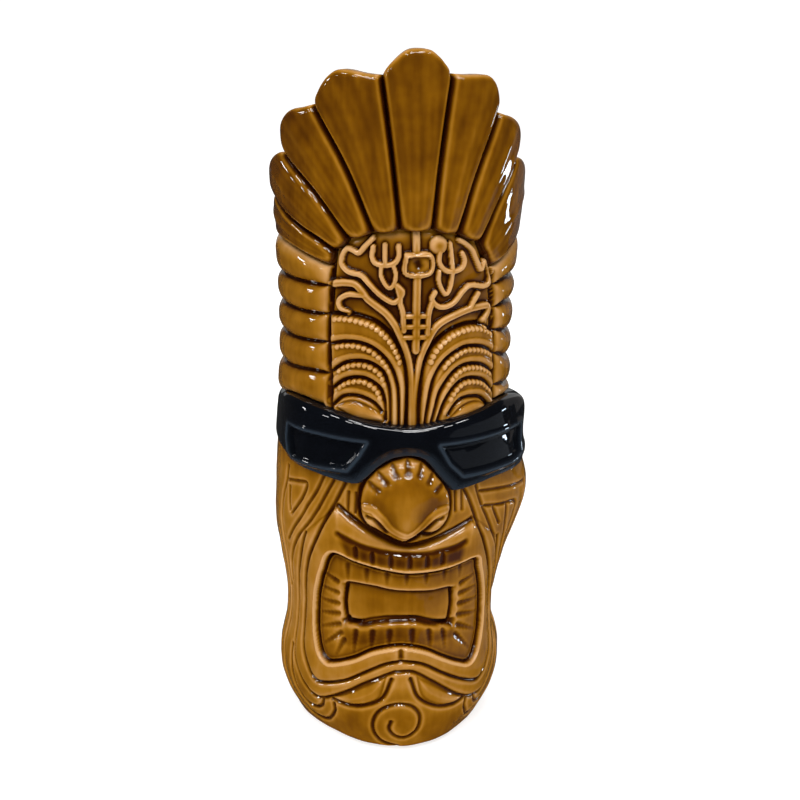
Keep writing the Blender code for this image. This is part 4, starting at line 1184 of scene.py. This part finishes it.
def build_vessel():
    arc = np.linspace(-BACK_ARC, BACK_ARC, 640, endpoint=False)
    rim = wall_height(arc)
    # Up the outside, over the rounded rim, down the inside and across the floor.
    rings = [place(arc, 2.4, -14.0), place(arc, 2.4, WALL_OUTER)]
    rings += [place(arc, h, WALL_OUTER) for h in (6, 20, 35, 50, 65, 80, 100, 125, 148)]
    rings += [place(arc, 0.3 * 148 + 0.7 * (rim - 2), WALL_OUTER), place(arc, rim - 1.5, -4.8)]
    for turn in np.linspace(0, 0.5 * math.pi, 9):
        out = -RIM_ROUND - RIM_ROUND * math.sin(turn)
        rings.append(place(arc, rim - RIM_ROUND * (1 - math.cos(turn)), out))
    rings.append(place(arc, 0.5 * (rim + 142), WALL_INNER))
    rings += [place(arc, h, WALL_INNER) for h in (140, 120, 100, 80, 60, 40, 22, 13)]
    rings += [place(arc, 9.4, -7.4), place(arc, 8.2, -11.0), place(arc, 8.0, -16.0)]
    piece = lofted("vessel_wall", rings, GLAZE)
    set_values(piece, "pool", np.full(len(piece.data.vertices), 0.47))
    finished(piece, ["vessel_body"])


GLASSES_REACH = 86  # arc where the arms of the glasses end


def glasses_grid(top, under):
    """Positions over the glasses, from their lower edge to their upper edge, with blunt ends."""
    across = np.linspace(-GLASSES_REACH, GLASSES_REACH, 520)
    order = np.argsort(under[:, 0], kind="stable")
    high = np.interp(across, *top.T)
    low = np.interp(across, *under[order].T)
    share = np.linspace(0, 1, 64)[:, None]
    blunt = 1 - 0.45 * (1 - rounded_step((GLASSES_REACH + 0.2 - np.abs(across)) / 3.2))
    low, high = 0.5 * (low + high) + np.outer((-0.5, 0.5), (high - low) * blunt)
    height = low + (high - low) * share
    return across + np.zeros_like(height), height


def build_glasses():
    """Wrap-round glasses in one piece: bevelled frame, sunken lenses, narrow arms, painted sheen on the
    bevel and lens edges.
    """
    top, under = smooth(GLASSES_TOP, 0.5), smooth(GLASSES_UNDER, 0.5)
    arc, height = glasses_grid(top, under)
    from_top, from_under = distance(arc, height, top), distance(arc, height, under)
    # A rounded upper edge, and a wide bevel along the lower one.
    front = 0.6 + 2.9 * rounded_step(from_top / 2.8)
    front = front - 2.1 * (1 - ease(from_under / 4.6)) - 0.9 * (1 - rounded_step(from_under / 0.8))
    # Painted sheen: blue-grey is painted along the lower bevel and round each lens, standing in for the
    # black glaze's reflections.
    painted_sheen = 0.6 * (1 - ease((from_under - 0.5) / 3.2))
    for lens in LENSES:
        depth = depth_inside(arc, height, straight(lens, step=0.8))
        front = front + 0.35 * bell((depth + 0.7) / 0.7) - 1.5 * ease(depth / 1.3)
        front = front + 0.5 * (1 - np.exp(-np.maximum(depth, 0) / 3))
        painted_sheen = np.maximum(painted_sheen, 0.8 * bell((depth + 0.4) / 0.55))
    # The left end lies closer to the head, and the upper right end stands out from it.
    front = front - 2.8 * ease((-arc - 30) / 24) - 0.8 * ease((arc - 34) / 20)
    front = front + 2.4 * ease((arc - 34) / 14) * ease((height - 92) / 14)
    front = front + 0.5 * uneven(arc, height)
    # Past the lenses the frame goes over into narrow arms.
    arm = ease((np.abs(arc) - 56) / 20)
    strip = 0.2 + 1.4 * rounded_step(np.minimum(from_top, from_under) / 2)
    front = front * (1 - arm) + strip * arm
    front = front * rounded_step((GLASSES_REACH + 0.4 - np.abs(arc)) / 3)
    front = np.maximum(front, -1.5)
    back = np.full_like(front, -4.5)
    piece = relief("glasses_fine", np.stack([arc, height], -1), front, back, BLACK_GLAZE, painted_sheen)
    finished(piece, ["glasses_frame", "glasses_lens_left", "glasses_lens_right",
                                    "glasses_arm_left", "glasses_arm_right"])


def build_foot():
    arc = np.linspace(-BACK_ARC, BACK_ARC, 240, endpoint=False)
    profile = ((0.0, -12.0), (0.0, -3.6), (0.35, -3.2), (3.0, -3.2))  # height, out
    piece = lofted("foot_fine", [place(arc, height, out) for height, out in profile], CLAY)
    finished(piece, ["foot_plate"])


def build_skin():
    skin = carve_skin()
    bands = [f"brow_band_{side}_{k}" for side in ("left", "right") for k in (1, 2, 3, 4)]
    brow = ["brow_panel", "brow_stem", "brow_scroll_left", "brow_scroll_right",
            "brow_arm_left", "brow_arm_right", *bands]
    skin_piece("brow_fine", skin, (BROW_LOW, 168), (-33, 35), brow)
    skin_piece("coils_left_fine", skin, (BROW_LOW, RIM_HEIGHT), (-FRONT_ARC, -33),
               [f"side_ridge_left_{k}" for k in range(1, 6)])
    skin_piece("coils_right_fine", skin, (BROW_LOW, RIM_HEIGHT), (35, FRONT_ARC),
               [f"side_ridge_right_{k}" for k in range(1, 7)])
    skin_piece("face_upper_fine", skin, (MOUTH_MIDDLE, BROW_LOW), (-FRONT_ARC, FRONT_ARC),
               ["nose", "upper_lip", "teeth_upper", "cheek_left", "cheek_right"])
    skin_piece("face_lower_fine", skin, (1, MOUTH_MIDDLE), (-FRONT_ARC, FRONT_ARC),
               ["lower_lip", "teeth_lower", "tongue", "chin", "chin_spiral", "whiskers_left",
                "whiskers_right"])
    skin_piece("side_left_fine", skin, (1, RIM_HEIGHT), (-BACK_ARC, -FRONT_ARC), ["back_panel"])
    skin_piece("side_right_fine", skin, (1, RIM_HEIGHT), (FRONT_ARC, BACK_ARC), ["back_panel"])


# ---- studio

TABLE_GLOW, SWEEP_GLOW = 0.75, 1.02
TABLE_RADIUS = 0.75
SWEEP = ((TABLE_RADIUS, 0), (2.4, 0), (2.9, 0.08), (3.2, 0.35), (3.35, 0.9), (3.4, 3.2))
STUDIO_SIDES = 96
CAMERA_AWAY, CAMERA_HIGH, CAMERA_ASIDE = 0.498, 0.238, 0.002
CAMERA_TURN, CAMERA_DOWN, CAMERA_ROLL = math.radians(-7.5), math.radians(15), math.radians(1.05)
MUG_MIDDLE = 0.11  # height that the lights aim at, in metres
SOFT_LIGHTS = (
    # name, place, size, power
    ("key", (-0.45, -1.0, 1.0), (0.7, 0.7), 5),
    ("fill", (0.9, -0.9, 0.5), (0.8, 0.8), 2.0),
    ("top", (0, 0.1, 1.4), (1.0, 1.0), 1),
    ("back", (-0.6, 1.1, 0.8), (0.8, 0.8), 4),
)
MIRRORED_LIGHTS = (
    # name, place, size, power, and the colour where it isn't white
    *((f"lamp_{k}", (-0.75 + 0.5 * (k % 4), -0.95 + 0.6 * (k // 4), 1.35), (0.2, 0.09), 1.8)
      for k in range(8)),
    ("strip", (0, -0.65, 1.3), (0.8, 0.1), 5),
    ("lamp_left", (-1.08, 0.2, 0.52), (0.2, 0.08), 1.6),
    ("lamp_left_low", (-1.1, 0.1, 0.33), (0.1, 0.05), 0.5),
    ("lamp_left_high", (-0.9, -0.4, 0.62), (0.08, 0.05), 0.45),
    ("window", (0.66, 0.21, 0.05), (0.07, 0.06), 0.26, (0.7, 0.85, 1.0)),
    ("far_wall", (0.2, 1.7, 0.4), (1.4, 0.9), 1.0),
    ("wall", (1.0, 1.1, 0.3), (1.2, 1.0), 0.5, (1.0, 0.92, 0.88)),
)


def studio_rings(name, profile, material):
    """A surface of revolution about the mug's axis through (radius, height) in metres."""
    turn = np.linspace(0, 2 * math.pi, STUDIO_SIDES, endpoint=False)
    rings = [np.stack([r * np.cos(turn), r * np.sin(turn), np.full(STUDIO_SIDES, z)], -1)
             for r, z in profile]
    points = np.vstack(rings) + (AXIS_X, 0, BASE_Z - 0.0002)
    faces = grid_faces(len(rings), STUDIO_SIDES, wrap=True)[:, ::-1]
    room = mesh_piece(name, points, [faces], material)
    away = np.repeat([r for r, _ in profile], STUDIO_SIDES)
    share = ease((away - 0.25) / (TABLE_RADIUS - 0.25))
    set_values(room, "glow", TABLE_GLOW + (SWEEP_GLOW - TABLE_GLOW) * share)
    room.visible_glossy = False
    return room


def build_studio():
    """A pale table and a pale sweep round it, neither of which the glaze mirrors."""
    pale = floor_material()
    radii = [0.0001] + [TABLE_RADIUS * k / 12 for k in range(1, 13)]
    studio_rings("studio_table", [(r, 0) for r in radii], pale)
    sweep = studio_rings("studio_sweep", SWEEP, pale)
    sweep.visible_diffuse = False


def area_light(name, at, size, power, colour=(1, 1, 1), mirrored=True, aim=MUG_MIDDLE):
    """A soft light aimed at this height of the mug; only a mirrored one shows in the glaze."""
    data = bpy.data.lights.new(name, "AREA")
    data.shape = "RECTANGLE"
    data.size, data.size_y = size
    data.energy = power
    data.color = colour
    light = bpy.data.objects.new(name, data)
    light.location = Vector(at)
    toward = Vector((AXIS_X, 0, BASE_Z + aim)) - light.location
    light.rotation_euler = toward.to_track_quat("-Z", "Y").to_euler()
    light.visible_glossy = mirrored
    light.visible_camera = False
    bpy.context.scene.collection.objects.link(light)


def build_lights():
    # A dim card on the table faces up, and only the glaze shows it.
    area_light("table_card", (0.3, -0.09, 0.0004), (0.5, 0.34), 0.1, (0.8, 0.9, 1.0), aim=1.0)
    for row in SOFT_LIGHTS:
        area_light(*row, mirrored=False)
    for row in MIRRORED_LIGHTS:
        area_light(*row)
    world = bpy.data.worlds.new("studio_air")
    world.use_nodes = True
    air = world.node_tree.nodes["Background"]
    air.inputs["Color"].default_value = (1, 1, 1, 1)
    air.inputs["Strength"].default_value = 0.03
    bpy.context.scene.world = world


def build_camera():
    turn, down, roll = CAMERA_TURN, CAMERA_DOWN, CAMERA_ROLL
    ahead = Vector((-math.sin(turn) * math.cos(down), math.cos(turn) * math.cos(down),
                    -math.sin(down)))
    across = Vector((math.cos(turn), math.sin(turn), 0))
    up = across.cross(ahead)
    right = across * math.cos(roll) + up * math.sin(roll)
    above = up * math.cos(roll) - across * math.sin(roll)
    spot = Vector((
        CAMERA_AWAY * math.sin(turn) + CAMERA_ASIDE * math.cos(turn) + AXIS_X,
        -CAMERA_AWAY * math.cos(turn) + CAMERA_ASIDE * math.sin(turn),
        CAMERA_HIGH + BASE_Z,
    ))
    data = bpy.data.cameras.new("photo_camera")
    data.lens = 72.6
    data.sensor_width = 36.0
    data.clip_start = 0.01
    camera = bpy.data.objects.new("photo_camera", data)
    turned = Matrix((right, above, -ahead)).transposed().to_4x4()
    turned.translation = spot
    camera.matrix_world = turned
    bpy.context.scene.collection.objects.link(camera)
    bpy.context.scene.camera = camera
    bpy.context.scene.view_settings.view_transform = "Standard"


GLAZE = glaze_material()
BLACK_GLAZE = black_material()
CLAY = clay_material()
build_skin()
build_crest()
build_vessel()
build_glasses()
build_foot()
build_studio()
build_lights()
build_camera()
